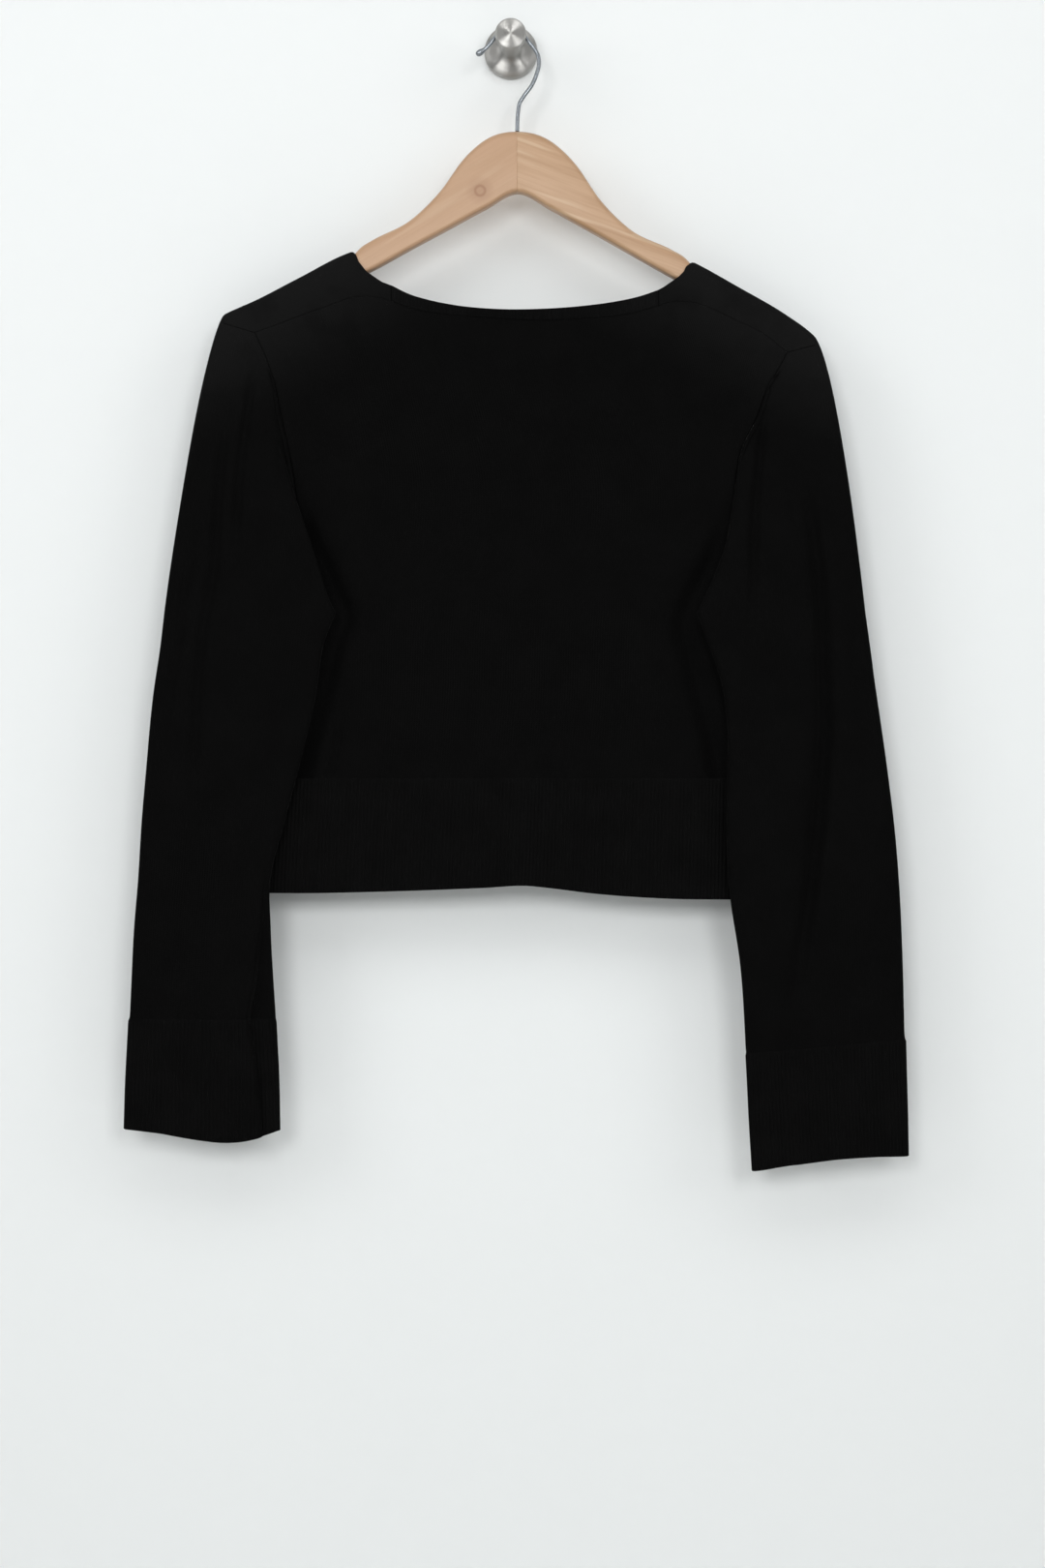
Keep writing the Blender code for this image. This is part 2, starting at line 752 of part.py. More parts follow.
def sample(surface, us, vs):
    """Points and unit normals of a surface, a row for each of vs."""
    u, v = np.meshgrid(us, vs)
    step = 1e-4
    low_u, high_u = np.maximum(u - step, 0), np.minimum(u + step, 1)
    low_v, high_v = np.maximum(v - step, 0), np.minimum(v + step, max(vs))
    across = surface(high_u, v) - surface(low_u, v)
    along = surface(u, high_v) - surface(u, low_v)
    return surface(u, v), unit(np.cross(across, along))


def folded_shares(count):
    """Shares from 0 to 1, closer together towards both ends."""
    return (1 - np.cos(np.linspace(0, pi, count))) / 2


def rib_shares(surface):
    """Shares across a surface with two for each rib, at even distances."""
    u = np.linspace(0, 1, 4001)
    line = surface(u, np.full_like(u, 0.5))
    length = np.append(0, np.cumsum(np.linalg.norm(np.diff(line, axis=0), axis=1)))
    count = 2 * round(length[-1] / RIB_PITCH) + 1
    return np.interp(np.linspace(0, length[-1], count), length, u)


def zip_rims(a, b):
    """Triangles between two rows of corners, which may differ in number."""
    faces, i, j = [], 0, 0
    while i < len(a) - 1 or j < len(b) - 1:
        if i < len(a) - 1 and (i + 1) * (len(b) - 1) <= (j + 1) * (len(a) - 1) or j == len(b) - 1:
            faces.append((a[i], a[i + 1], b[j]))
            i += 1
        else:
            faces.append((a[i], b[j + 1], b[j]))
            j += 1
    return faces


def grid_faces(ids, closed):
    if closed:
        ids = np.concatenate([ids, ids[:, :1]], 1)
    corners = np.stack([ids[:-1, :-1], ids[:-1, 1:], ids[1:, 1:], ids[1:, :-1]], -1)
    return [tuple(int(c) for c in face) for face in corners.reshape(-1, 4)]


def material(name, colour, roughness, metallic=0.0):
    made = bpy.data.materials.new(name)
    made.use_nodes = True
    shader = made.node_tree.nodes["Principled BSDF"]
    shader.inputs["Base Color"].default_value = (*colour, 1.0)
    shader.inputs["Roughness"].default_value = roughness
    shader.inputs["Metallic"].default_value = metallic
    made.diffuse_color = (*colour, 1.0)
    return made


def mesh_object(name, points, faces, finish):
    """An object from points in millimetres, with its faces pointing out."""
    mesh = bpy.data.meshes.new(name)
    mesh.from_pydata([tuple(p * MM) for p in np.asarray(points)], [], faces)
    shape = bmesh.new()
    shape.from_mesh(mesh)
    bmesh.ops.recalc_face_normals(shape, faces=shape.faces)
    if shape.calc_volume(signed=True) < 0:
        bmesh.ops.reverse_faces(shape, faces=shape.faces)
    shape.to_mesh(mesh)
    shape.free()
    mesh.shade_smooth()
    mesh.set_sharp_from_angle(angle=pi / 5)
    made = bpy.data.objects.new(name, mesh)
    made.data.materials.append(finish)
    bpy.context.scene.collection.objects.link(made)
    return made


def wall(name, outer, inner, closed, finish):
    """A thin wall between two grids with the same rows; the inner one may be coarser."""
    outer_ids = np.arange(outer[..., 0].size).reshape(outer.shape[:2])
    inner_ids = outer_ids.size + np.arange(inner[..., 0].size).reshape(inner.shape[:2])
    faces = grid_faces(outer_ids, closed) + grid_faces(inner_ids, closed)
    for row in (0, -1):
        a, b = list(outer_ids[row]), list(inner_ids[row])
        if closed:
            a, b = a + a[:1], b + b[:1]
        faces += zip_rims(a, b)
    if not closed:
        for column in (0, -1):
            faces += zip_rims(list(outer_ids[:, column]), list(inner_ids[:, column]))
    points = np.concatenate([outer.reshape(-1, 3), inner.reshape(-1, 3)])
    return mesh_object(name, points, [tuple(int(c) for c in f) for f in faces], finish)


def knit_wall(name, grid, normal, closed, finish):
    return wall(name, grid + normal * KNIT / 2, grid - normal * KNIT / 2, closed, finish)


def rib_wall(name, grid, normal, closed, finish, thick=RIB_WALL, rise=RIB_RISE, skip=6):
    """A wall whose every other column stands up as a ridge, over a plain inside."""
    ridges = (np.arange(grid.shape[1]) % 2)[None, :, None] * rise
    outer = grid + normal * (thick / 2 + ridges)
    picked = np.arange(0, grid.shape[1], skip)
    if not closed and picked[-1] != grid.shape[1] - 1:
        picked = np.append(picked, grid.shape[1] - 1)
    inner = (grid - normal * thick / 2)[:, picked]
    return wall(name, outer, inner, closed, finish)


def loft(name, rings, finish):
    """A solid through closed rings of equal size, flat at both ends."""
    rings = np.asarray(rings)
    ids = np.arange(rings[..., 0].size).reshape(rings.shape[:2])
    faces = grid_faces(ids, True)
    faces += [tuple(int(c) for c in ids[row]) for row in (0, -1)]
    return mesh_object(name, rings.reshape(-1, 3), faces, finish)


def turned(name, middle, profile, towards, segments, finish):
    """A solid turned about an axis through its middle, along +Y or -Y."""
    angle = np.arange(segments) / segments * 2 * pi
    rings = []
    for away, radius in zip(profile["away"], profile["radius"]):
        x = middle[0] + radius * np.cos(angle)
        z = middle[2] + radius * np.sin(angle)
        y = np.full_like(x, middle[1] + towards * away)
        rings.append(np.stack([x, y, z], -1))
    return loft(name, rings, finish)


# Pieces


def body(knit, rib):
    us = folded_shares(25)
    points, normal = sample(back_surface, us, BACK_ROWS)
    knit_wall("back", points, normal, False, knit)
    points, normal = sample(back_hem_surface, rib_shares(back_hem_surface), [0, 1])
    rib_wall("hem_rib_back", points, normal, False, rib)
    points, normal = sample(neckband_surface, rib_shares(neckband_surface), [0, 1])
    rib_wall("back_neckband", points, normal, False, rib)

    for side, corner in (("left", LEFT), ("right", RIGHT)):
        out = corner["out"]
        us = 1 - np.cos(np.linspace(0, pi / 2, 12))
        points, normal = sample(front_surface(corner), us, FRONT_ROWS)
        knit_wall(f"front_{side}", points, out * normal, False, knit)
        surface = front_hem_surface(corner)
        points, normal = sample(surface, rib_shares(surface), [0, 1])
        rib_wall(f"hem_rib_front_{side}", points, out * normal, False, rib)
        surface = band_surface(corner, side == "right")
        points, normal = sample(surface, np.linspace(0, 1, 9), np.linspace(0, 1, 15))
        name = f"front_band_{side}"
        rib_wall(name, points, out * normal, False, rib, BAND_WALL, BAND_RISE)


def sleeves(knit, rib):
    sides = (("left", LEFT, SLEEVE_LEFT, "step"), ("right", RIGHT, SLEEVE_RIGHT, "trough"))
    for side, corner, sleeve, kind in sides:
        grid, normal = sleeve_grid(corner, sleeve, kind)
        knit_wall(f"sleeve_{side}", grid, normal, True, knit)
        grid = cuff_grid(sleeve, kind, CUFF_BOW[side])
        rib_wall(f"cuff_{side}", grid, corner["out"] * tube_normals(grid), True, rib)


def buttons(finish):
    lift = BAND_LIFT + BAND_WALL + BAND_RISE + SEAM_GAP
    lift += BAND_WALL / 2 + BAND_RISE + SEAM_GAP
    for number, z in enumerate(np.linspace(-352, -592, 5), 1):
        y = float(front_y(np.array(FRONT_X), np.array(z), 0.0)) + lift
        turned(f"button_{number}", (FRONT_X, y, z), BUTTON, 1, 16, finish)


def arm_top(x):
    """The arm's top edge, which stays under the cloth where the cloth lies on it."""
    top = smooth(ARMS["x"], ARMS["top"], x)
    covered = (x <= LEFT["neck_x"]) | (x >= RIGHT["neck_x"])
    return np.where(covered, np.minimum(top, ridge(x) - ARM_DROP), top)


def hanger_half(name, xs, finish):
    """One arm: a flat bar with a round top, which tapers to its tip."""
    top, bottom = arm_top(xs), smooth(ARMS["x"], ARMS["bottom"], xs)
    half = ARM_THICK / 2 * np.interp(np.abs(xs), TAPER["x"], TAPER["share"])
    upper = np.linspace(0, pi, 8)
    lower = np.linspace(pi, 2 * pi, 8)[1:-1]
    rings = []
    for x, high, low, wide in zip(xs, top, bottom, half):
        over = min(wide, (high - low) / 2)
        under = min(wide * 0.6, (high - low) / 2)
        y = np.append(wide * np.cos(upper), wide * np.sign(np.cos(lower)) * np.abs(np.cos(lower)) ** 0.5)
        z = np.append(high - over + over * np.sin(upper), low + under + under * np.sin(lower))
        rings.append(np.stack([np.full_like(y, x), MID_Y + y, z], -1))
    loft(name, rings, finish)


def hook(finish):
    """Bent wire, swept along the hook's line, with a bead at its free end."""
    count = 34
    x = smooth(np.arange(len(HOOK["x"])), HOOK["x"], np.linspace(0, len(HOOK["x"]) - 1, count))
    z = smooth(np.arange(len(HOOK["z"])), HOOK["z"], np.linspace(0, len(HOOK["z"]) - 1, count))
    line = np.stack([x, np.full_like(x, MID_Y), z], -1)
    ahead = unit(np.gradient(line, axis=0))
    ahead[-1] = (0, 0, -1)
    length = np.append(0, np.cumsum(np.linalg.norm(np.diff(line, axis=0), axis=1)))
    radius = np.interp(length, [0, 1.2, 3.5, 6.0, 7.5], [1.2, 2.1, 2.3, 2.0, WIRE_RADIUS])
    angle = np.arange(10) / 10 * 2 * pi
    aside = np.cross(ahead, (0, 1, 0))
    rings = [
        p + r * (np.cos(angle)[:, None] * s + np.sin(angle)[:, None] * np.array((0, 1, 0)))
        for p, r, s in zip(line, radius, aside)
    ]
    loft("hanger_hook", rings, finish)


def main():
    for old in list(bpy.data.objects):
        bpy.data.objects.remove(old, do_unlink=True)
    knit = material("black_knit", (0.010, 0.010, 0.011), 0.9)
    rib = material("black_rib", (0.011, 0.011, 0.012), 0.9)
    shell = material("black_button", (0.015, 0.015, 0.016), 0.35)
    wood = material("pale_wood", (0.60, 0.44, 0.29), 0.5)
    wire = material("polished_wire", (0.62, 0.61, 0.58), 0.25, 1.0)
    steel = material("brushed_steel", (0.50, 0.49, 0.47), 0.38, 1.0)

    body(knit, rib)
    sleeves(knit, rib)
    buttons(shell)
    xs = np.union1d(ARMS["x"], ARM_STATIONS)
    joint = SEAM_GAP / 2
    hanger_half("hanger_half_left", np.append(xs[xs < JOINT_X], JOINT_X - joint), wood)
    hanger_half("hanger_half_right", np.append(JOINT_X + joint, xs[xs > JOINT_X]), wood)
    hook(wire)
    turned("wall_peg", (0, 0, 0), PEG, -1, 28, steel)


main()
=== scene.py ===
from math import pi

import bmesh
import bpy
import numpy as np
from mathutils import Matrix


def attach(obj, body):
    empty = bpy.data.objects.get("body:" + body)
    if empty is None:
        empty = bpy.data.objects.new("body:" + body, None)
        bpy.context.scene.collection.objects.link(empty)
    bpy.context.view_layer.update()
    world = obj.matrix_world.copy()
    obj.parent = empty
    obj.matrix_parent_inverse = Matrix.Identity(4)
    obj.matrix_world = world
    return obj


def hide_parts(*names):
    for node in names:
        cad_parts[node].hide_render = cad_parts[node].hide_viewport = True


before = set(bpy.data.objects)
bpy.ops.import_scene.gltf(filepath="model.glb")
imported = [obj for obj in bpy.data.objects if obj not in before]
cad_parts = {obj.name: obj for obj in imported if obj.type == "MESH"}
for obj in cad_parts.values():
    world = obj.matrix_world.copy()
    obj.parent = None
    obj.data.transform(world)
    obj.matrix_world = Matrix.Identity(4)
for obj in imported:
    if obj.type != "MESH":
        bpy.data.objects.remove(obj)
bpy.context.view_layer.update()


print("frame loaded:", len(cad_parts), "nodes")

# Shapes below are in millimetres and become metres in makeMesh.
# Left and right are as the camera sees them; the garment shows its back.


def table(names, rows):
    return dict(zip(names.split(), np.array(rows, float).T))


def smooth(knots, values, at):
    slopes = np.gradient(values, knots)
    at = np.clip(np.asarray(at, float), knots[0], knots[-1])
    i = np.clip(np.searchsorted(knots, at, side="right") - 1, 0, len(knots) - 2)
    step = knots[i + 1] - knots[i]
    t = (at - knots[i]) / step
    return (values[i] * (1 + 2 * t) * (1 - t) ** 2 + values[i + 1] * (3 - 2 * t) * t**2
            + slopes[i] * step * t * (1 - t) ** 2 - slopes[i + 1] * step * t**2 * (1 - t))


def blend(a, b, share):
    return a + (b - a) * share


def ease(t):
    t = np.clip(t, 0, 1)
    return t * t * (3 - 2 * t)


def flatter(wave, power):
    return np.sign(wave) * np.abs(wave) ** power


def unit(vectors):
    return vectors / np.maximum(np.linalg.norm(vectors, axis=-1, keepdims=True), 1e-9)


def lengthsAlong(line):
    return np.append(0, np.cumsum(np.linalg.norm(np.diff(line, axis=0), axis=1)))


def linear(hexColour):
    values = [int(hexColour[i:i + 2], 16) / 255 for i in (1, 3, 5)]
    values = [v / 12.92 if v <= 0.04045 else ((v + 0.055) / 1.055) ** 2.4 for v in values]
    return (*values, 1.0)


def addNode(tree, kind, settings=None, inputs=None):
    node = tree.nodes.new(kind)
    for name, value in (settings or {}).items():
        setattr(node, name, value)
    for name, value in (inputs or {}).items():
        if isinstance(value, bpy.types.NodeSocket):
            tree.links.new(value, node.inputs[name])
        else:
            node.inputs[name].default_value = value
    return node


def newMaterial(name, values):
    made = bpy.data.materials.new(name)
    made.use_nodes = True
    shader = made.node_tree.nodes["Principled BSDF"]
    for socket, value in values.items():
        shader.inputs[socket].default_value = value
    made.diffuse_color = values["Base Color"]
    return made, made.node_tree, shader


def objectPlace(tree):
    return addNode(tree, "ShaderNodeTexCoord").outputs["Object"]


def weavePlace(tree):
    return addNode(tree, "ShaderNodeUVMap", {"uv_map": "weave"}).outputs["UV"]


def calculate(tree, operation, *values, clamp=False):
    return addNode(tree, "ShaderNodeMath", {"operation": operation, "use_clamp": clamp},
                   dict(enumerate(values))).outputs[0]


def noise(tree, place, scale, detail, roughness=0.5, distortion=0.0):
    return addNode(tree, "ShaderNodeTexNoise", None, {
        "Vector": place, "Scale": scale, "Detail": detail, "Roughness": roughness,
        "Distortion": distortion}).outputs["Fac"]


def remap(tree, value, low, high, least=0.0, most=1.0, kind="LINEAR"):
    return addNode(tree, "ShaderNodeMapRange", {"interpolation_type": kind}, {
        "Value": value, "From Min": low, "From Max": high, "To Min": least,
        "To Max": most}).outputs["Result"]


def mixColours(tree, share, *colours):
    low, high = (linear(c) if isinstance(c, str) else c for c in colours)
    return addNode(tree, "ShaderNodeMix", {"data_type": "RGBA"},
                   {0: share, 6: low, 7: high}).outputs[2]


def addBump(tree, shader, height, strength, distance):
    bump = addNode(tree, "ShaderNodeBump", None, {
        "Height": height, "Strength": strength, "Distance": distance})
    tree.links.new(bump.outputs["Normal"], shader.inputs["Normal"])


yarn = {
    "dark": "#090909",
    "light": "#0b0b0b",
    "ribDark": "#0a0a0a",
    "ribLight": "#0d0d0d",
    "roughness": 0.95,
    "specular": 0.015,  # hardly any gloss: dyed fine wool drinks the light
    "fuzz": 0.04,
    "fuzzColour": "#e6e6e4",
    "fuzzRoughness": 0.3,
    "wale": 1.7,  # real one about 1 mm, drawn as coarse as it needs to show
    "course": 1.3,
    "bump": 0.22,
    "shoulder": "#171717",  # painted light: the colour is lighter where the shoulders tilt up into the top light
    "shoulderFrom": -0.185,
    "shoulderTo": -0.08,
    "shoulderSlope": 0.55,
}


def makeYarn(name, dark, light, stitches):
    # Fine merino-type yarn, machine knitted and dyed black: matt, very dark, with a faint halo
    # of fibre ends along its rims and small stitches. Along the shoulders its colour is painted
    # lighter, as painted light from above.
    made, tree, shader = newMaterial(name, {
        "Base Color": linear(light), "Roughness": yarn["roughness"], "IOR": 1.5,
        "Specular IOR Level": yarn["specular"], "Sheen Weight": yarn["fuzz"],
        "Sheen Roughness": yarn["fuzzRoughness"], "Sheen Tint": linear(yarn["fuzzColour"])})
    place = objectPlace(tree)
    patches = noise(tree, place, 40.0, 3.0)  # 25 mm wide, where the nap lies differently
    lint = noise(tree, place, 850.0, 2.0, 0.7)  # single fibres and lint, 1.2 mm
    share = remap(tree, calculate(tree, "MULTIPLY", patches, lint), 0.14, 0.38)
    colour = mixColours(tree, share, dark, light)
    # painted light: lighter colour above a line that falls outwards with the shoulders, standing
    # in for the top light on the yoke
    spot = addNode(tree, "ShaderNodeSeparateXYZ", None, {"Vector": place}).outputs
    level = calculate(tree, "MULTIPLY_ADD", calculate(tree, "ABSOLUTE", spot["X"]),
                      yarn["shoulderSlope"], spot["Z"])
    # mask of the painted light on the shoulders
    paintedShoulderLight = remap(tree, level, yarn["shoulderFrom"], yarn["shoulderTo"], kind="SMOOTHSTEP")
    paintedShoulderLight = calculate(tree, "MULTIPLY", paintedShoulderLight, remap(tree, patches, 0.2, 0.5, least=0.55))
    colour = mixColours(tree, paintedShoulderLight, colour, yarn["shoulder"])
    tree.links.new(colour, shader.inputs["Base Color"])
    height = lint
    if stitches:
        # across: one wale is a ridge; down: each stitch is a V that leans with the wale
        weave = addNode(tree, "ShaderNodeSeparateXYZ", None,
                        {"Vector": weavePlace(tree)}).outputs
        across = calculate(tree, "PINGPONG", weave["X"], yarn["wale"] / 2)
        lean = calculate(tree, "ADD", weave["Y"], across)
        loops = calculate(tree, "PINGPONG", lean, yarn["course"] / 2)
        height = calculate(tree, "MULTIPLY_ADD", across, 1.2, loops)
    addBump(tree, shader, height, yarn["bump"], 0.0004)
    return made


plainKnit = makeYarn("blackPlainKnit", yarn["dark"], yarn["light"], True)
ribKnit = makeYarn("blackRibKnit", yarn["ribDark"], yarn["ribLight"], False)

wood = {
    "left": "#b49172",
    "right": "#b59373",
    "streak": "#9f7a56",
    "pale": "#c4a98c",
    "knot": "#8f6546",
    "knotAt": (-21.7, -44.0, -110.9),
    "knotSize": 5.0,
    "roughness": 0.45,
}


def makeWood(name, base, rise, contrast, knot):
    # Pale beech, planed, sanded and clear lacquered: long straight streaks, short flecks and a
    # soft gloss along the rounded top. rise is the grain's slope in degrees.
    made, tree, shader = newMaterial(name, {
        "Base Color": linear(base), "Roughness": wood["roughness"], "IOR": 1.5,
        "Coat Weight": 0.1, "Coat Roughness": 0.3})
    place = objectPlace(tree)

    def laid(along, across):  # millimetres of one feature along and across the grain
        return addNode(tree, "ShaderNodeMapping", {"vector_type": "TEXTURE"}, {
            "Vector": place, "Rotation": (0, -rise * pi / 180, 0),
            "Scale": (along / 1000, across / 1000, across / 1000)}).outputs[0]

    fine = noise(tree, laid(45, 1.6), 1.0, 4.0, 0.6)
    bands = noise(tree, laid(130, 7.5), 1.0, 2.0, distortion=0.4)
    pale = noise(tree, laid(70, 4.5), 1.0, 1.0)
    rays = addNode(tree, "ShaderNodeTexVoronoi", None, {
        "Vector": laid(3.6, 0.9), "Scale": 1.0, "Randomness": 1.0}).outputs["Distance"]
    dark = calculate(tree, "ADD", remap(tree, fine, 0.42, 0.7, most=0.55 * contrast),
                     remap(tree, bands, 0.4, 0.7, most=0.8 * contrast))
    dark = calculate(tree, "ADD", dark, remap(tree, rays, 0.22, 0.08, most=0.15), clamp=True)
    colour = mixColours(tree, dark, base, wood["streak"])
    light = remap(tree, pale, 0.56, 0.68, most=0.8 * contrast)
    colour = mixColours(tree, light, colour, wood["pale"])
    if knot:  # a dark ring round a lighter heart, and a soft halo
        off = addNode(tree, "ShaderNodeVectorMath", {"operation": "DISTANCE"}, {
            0: place, 1: tuple(c / 1000 for c in wood["knotAt"])}).outputs["Value"]
        size = wood["knotSize"] / 1000
        halo = remap(tree, off, size * 2.2, size * 0.6, most=0.4)
        ring = calculate(tree, "ABSOLUTE", calculate(tree, "SUBTRACT", off, size * 0.7))
        ring = remap(tree, ring, size * 0.3, size * 0.05, most=0.45)
        ring = calculate(tree, "ADD", ring, halo, clamp=True)
        colour = mixColours(tree, ring, colour, wood["knot"])
    tree.links.new(colour, shader.inputs["Base Color"])
    addBump(tree, shader, fine, 0.1, 0.0003)
    return made


steel = {
    "turned": {"colour": "#a9a8a5", "roughness": 0.36, "spread": 0.1, "bump": 0.1,
               "line": (25, 0.25)},  # mm of one line round the axis and across it
    # wire colour: painted reflection, darkened and tinted blue-grey like a dark room seen in the
    # wire
    "wire": {"colour": "#8b9095", "roughness": 0.24, "spread": 0.05, "bump": 0.02,
             "line": (0.3, 20)},
}


def makeSteel(name, kind, turnedLines):
    # Stainless steel. Brushed: fine rings left by the wheel, a broad soft highlight.
    # Polished wire: nearly a mirror, with faint draw marks. Its colour is darkened and tinted
    # blue-grey as a painted reflection of a dark room.
    made, tree, shader = newMaterial(name, {
        "Base Color": linear(kind["colour"]), "Metallic": 1.0,
        "Roughness": kind["roughness"]})
    size = (1 / kind["line"][0], 1 / kind["line"][1], 1)
    laid = addNode(tree, "ShaderNodeMapping", None, {"Vector": weavePlace(tree),
                                                     "Scale": size})
    lines = noise(tree, laid.outputs[0], 1.0, 4.0, 0.6)
    rough = remap(tree, lines, 0.3, 0.7, kind["roughness"] - kind["spread"],
                  kind["roughness"] + kind["spread"])
    tree.links.new(rough, shader.inputs["Roughness"])
    if turnedLines:  # brushing round the axis spreads each highlight along the radius
        shader.inputs["Anisotropic"].default_value = 1.0
        shader.inputs["Anisotropic Rotation"].default_value = 0.25
        radial = addNode(tree, "ShaderNodeTangent", {"direction_type": "RADIAL", "axis": "Y"})
        tree.links.new(radial.outputs[0], shader.inputs["Tangent"])
    addBump(tree, shader, lines, kind["bump"], 0.0002)
    return made


def makeButtonPlastic():
    # Moulded polyester resin, polished: black with a clean small highlight.
    made, tree, shader = newMaterial("blackPolyesterButton", {
        "Base Color": linear("#141415"), "Roughness": 0.3, "IOR": 1.56})
    clouds = noise(tree, objectPlace(tree), 300.0, 2.0)  # about 3 mm wide
    colour = mixColours(tree, clouds, "#0f0f10", "#1a1a1b")
    tree.links.new(colour, shader.inputs["Base Color"])
    return made


woodLeft = makeWood("beechLacqueredLeft", wood["left"], 32, 0.3, True)
woodRight = makeWood("beechLacqueredRight", wood["right"], -20, 0.75, False)
brushedSteel = makeSteel("brushedStainlessSteel", steel["turned"], True)
drawnWire = makeSteel("polishedSteelWire", steel["wire"], False)
buttonPlastic = makeButtonPlastic()
print("materials made")


def makeMesh(name, points, faces, material, weave, wrap=0.0):
    mesh = bpy.data.meshes.new(name)
    mesh.from_pydata((np.asarray(points) / 1000).tolist(), [], faces)
    shape = bmesh.new()
    shape.from_mesh(mesh)
    bmesh.ops.recalc_face_normals(shape, faces=shape.faces)
    if shape.calc_volume(signed=True) < 0:
        bmesh.ops.reverse_faces(shape, faces=shape.faces)
    shape.to_mesh(mesh)
    shape.free()
    corners = np.zeros(len(mesh.loops), np.int32)
    mesh.loops.foreach_get("vertex_index", corners)
    uv = np.asarray(weave, np.float32)[corners]
    if wrap:  # the corners that close a tube go on from its full length
        starts = np.zeros(len(mesh.polygons), np.int32)
        counts = np.zeros(len(mesh.polygons), np.int32)
        mesh.polygons.foreach_get("loop_start", starts)
        mesh.polygons.foreach_get("loop_total", counts)
        highest = np.repeat(np.maximum.reduceat(uv[:, 0], starts), counts)
        uv[:, 0] += np.where(highest - uv[:, 0] > wrap / 2, wrap, 0)
    layer = mesh.uv_layers.new(name="weave")
    layer.data.foreach_set("uv", uv.ravel())
    mesh.shade_smooth()
    made = bpy.data.objects.new(name, mesh)
    made.data.materials.append(material)
    bpy.context.scene.collection.objects.link(made)
    return made


def gridFaces(ids, closed):
    if closed:
        ids = np.concatenate([ids, ids[:, :1]], 1)
    corners = np.stack([ids[:-1, :-1], ids[:-1, 1:], ids[1:, 1:], ids[1:, :-1]], -1)
    return corners.reshape(-1, 4).tolist()


def zipRims(a, b):
    faces, i, j = [], 0, 0
    while i < len(a) - 1 or j < len(b) - 1:
        aFirst = i < len(a) - 1 and (i + 1) * (len(b) - 1) <= (j + 1) * (len(a) - 1)
        if aFirst or j == len(b) - 1:
            faces.append((a[i], a[i + 1], b[j]))
            i += 1
        else:
            faces.append((a[i], b[j + 1], b[j]))
            j += 1
    return faces


def shell(name, points, normals, thick, material, closed=False, rib=None, fold=None,
          innerStep=3, edges=(0.9, 0.9, 0.9, 0.9)):
    # A thin wall. fold moves both its sides along the normal; rib stands on the outer one.
    # edges: how far in from the first and last row and column each edge is rounded.
    down = np.linalg.norm(np.diff(points, axis=0), axis=-1).cumsum(0)
    down = np.concatenate([np.zeros((1, points.shape[1])), down])
    wide = np.linalg.norm(np.diff(points, axis=1), axis=-1).cumsum(1)
    wide = np.concatenate([np.zeros((points.shape[0], 1)), wide], 1)
    margins = [down, down[-1] - down, wide, wide[:, -1:] - wide]
    full = np.ones(points.shape[:2])
    for margin, size in zip(margins[:2 if closed else 4], edges):
        if size:
            full = np.minimum(full, np.sqrt(1 - 0.96 * np.clip(1 - margin / size, 0, 1) ** 2))
    if fold is not None:
        points = points + normals * fold[..., None]
    raised = full * thick / 2
    if rib is not None:
        raised = raised + rib * full
    outer = points + normals * raised[..., None]
    inner = points - normals * (full * thick / 2)[..., None]
    rows = np.unique(np.append(np.arange(0, points.shape[0], innerStep), points.shape[0] - 1))
    columns = np.arange(0, points.shape[1], innerStep)
    if not closed:
        columns = np.unique(np.append(columns, points.shape[1] - 1))
    picked = np.ix_(rows, columns)
    inner = inner[picked]
    outerIds = np.arange(outer[..., 0].size).reshape(outer.shape[:2])
    innerIds = outerIds.size + np.arange(inner[..., 0].size).reshape(inner.shape[:2])
    faces = gridFaces(outerIds, closed) + gridFaces(innerIds, closed)
    for row in (0, -1):
        a, b = outerIds[row].tolist(), innerIds[row].tolist()
        if closed:
            a, b = a + a[:1], b + b[:1]
        faces += zipRims(a, b)
    if not closed:
        for column in (0, -1):
            faces += zipRims(outerIds[:, column].tolist(), innerIds[:, column].tolist())
    weave = np.stack([wide, down], -1)
    weave = np.concatenate([weave.reshape(-1, 2), weave[picked].reshape(-1, 2)])
    allPoints = np.concatenate([outer.reshape(-1, 3), inner.reshape(-1, 3)])
    around = 0.0
    if closed:
        around = float(wide[:, -1].mean() + np.linalg.norm(points[:, 0] - points[:, -1],
                                                          axis=-1).mean())
    return makeMesh(name, allPoints, faces, material, weave, around)


def sample(surface, us, vs):
    u, v = np.meshgrid(us, vs)
    step = 1e-4
    across = surface(np.minimum(u + step, 1), v) - surface(np.maximum(u - step, 0), v)
    along = (surface(u, np.minimum(v + step, max(vs)))
             - surface(u, np.maximum(v - step, min(vs))))
    return surface(u, v), unit(np.cross(across, along))


def nearEdges(shares, length, near=(0.1, 0.3, 0.6, 1.0)):
    # extra rows beside both edges, for their rounding
    extra = np.array(near) / length
    return np.unique(np.concatenate([shares, extra, max(shares) - extra]))


def ribShares(surface, perRib):
    u = np.linspace(0, 1, 4001)
    along = lengthsAlong(surface(u, np.full_like(u, 0.5)))
    ribs = round(along[-1] / cloth["ribPitch"])
    return np.interp(np.linspace(0, along[-1], ribs * perRib + 1), along, u), ribs


def ribRelief(ribs, columns, rows, down, closed=False):
    # round ridges with narrow grooves, a little uneven in height
    turn = np.arange(columns) / (columns if closed else columns - 1) * ribs
    ridge = np.abs(np.cos(pi * turn))[None, :] ** 0.8
    height = 1 + 0.16 * np.sin(turn * 2.4 + 1.3)[None, :] + 0.1 * np.sin(turn * 0.9)[None, :]
    fade = 1 - 0.12 * np.abs(np.sin(down / 17.0))[:, None]
    return cloth["ribRise"] * ridge * height * fade


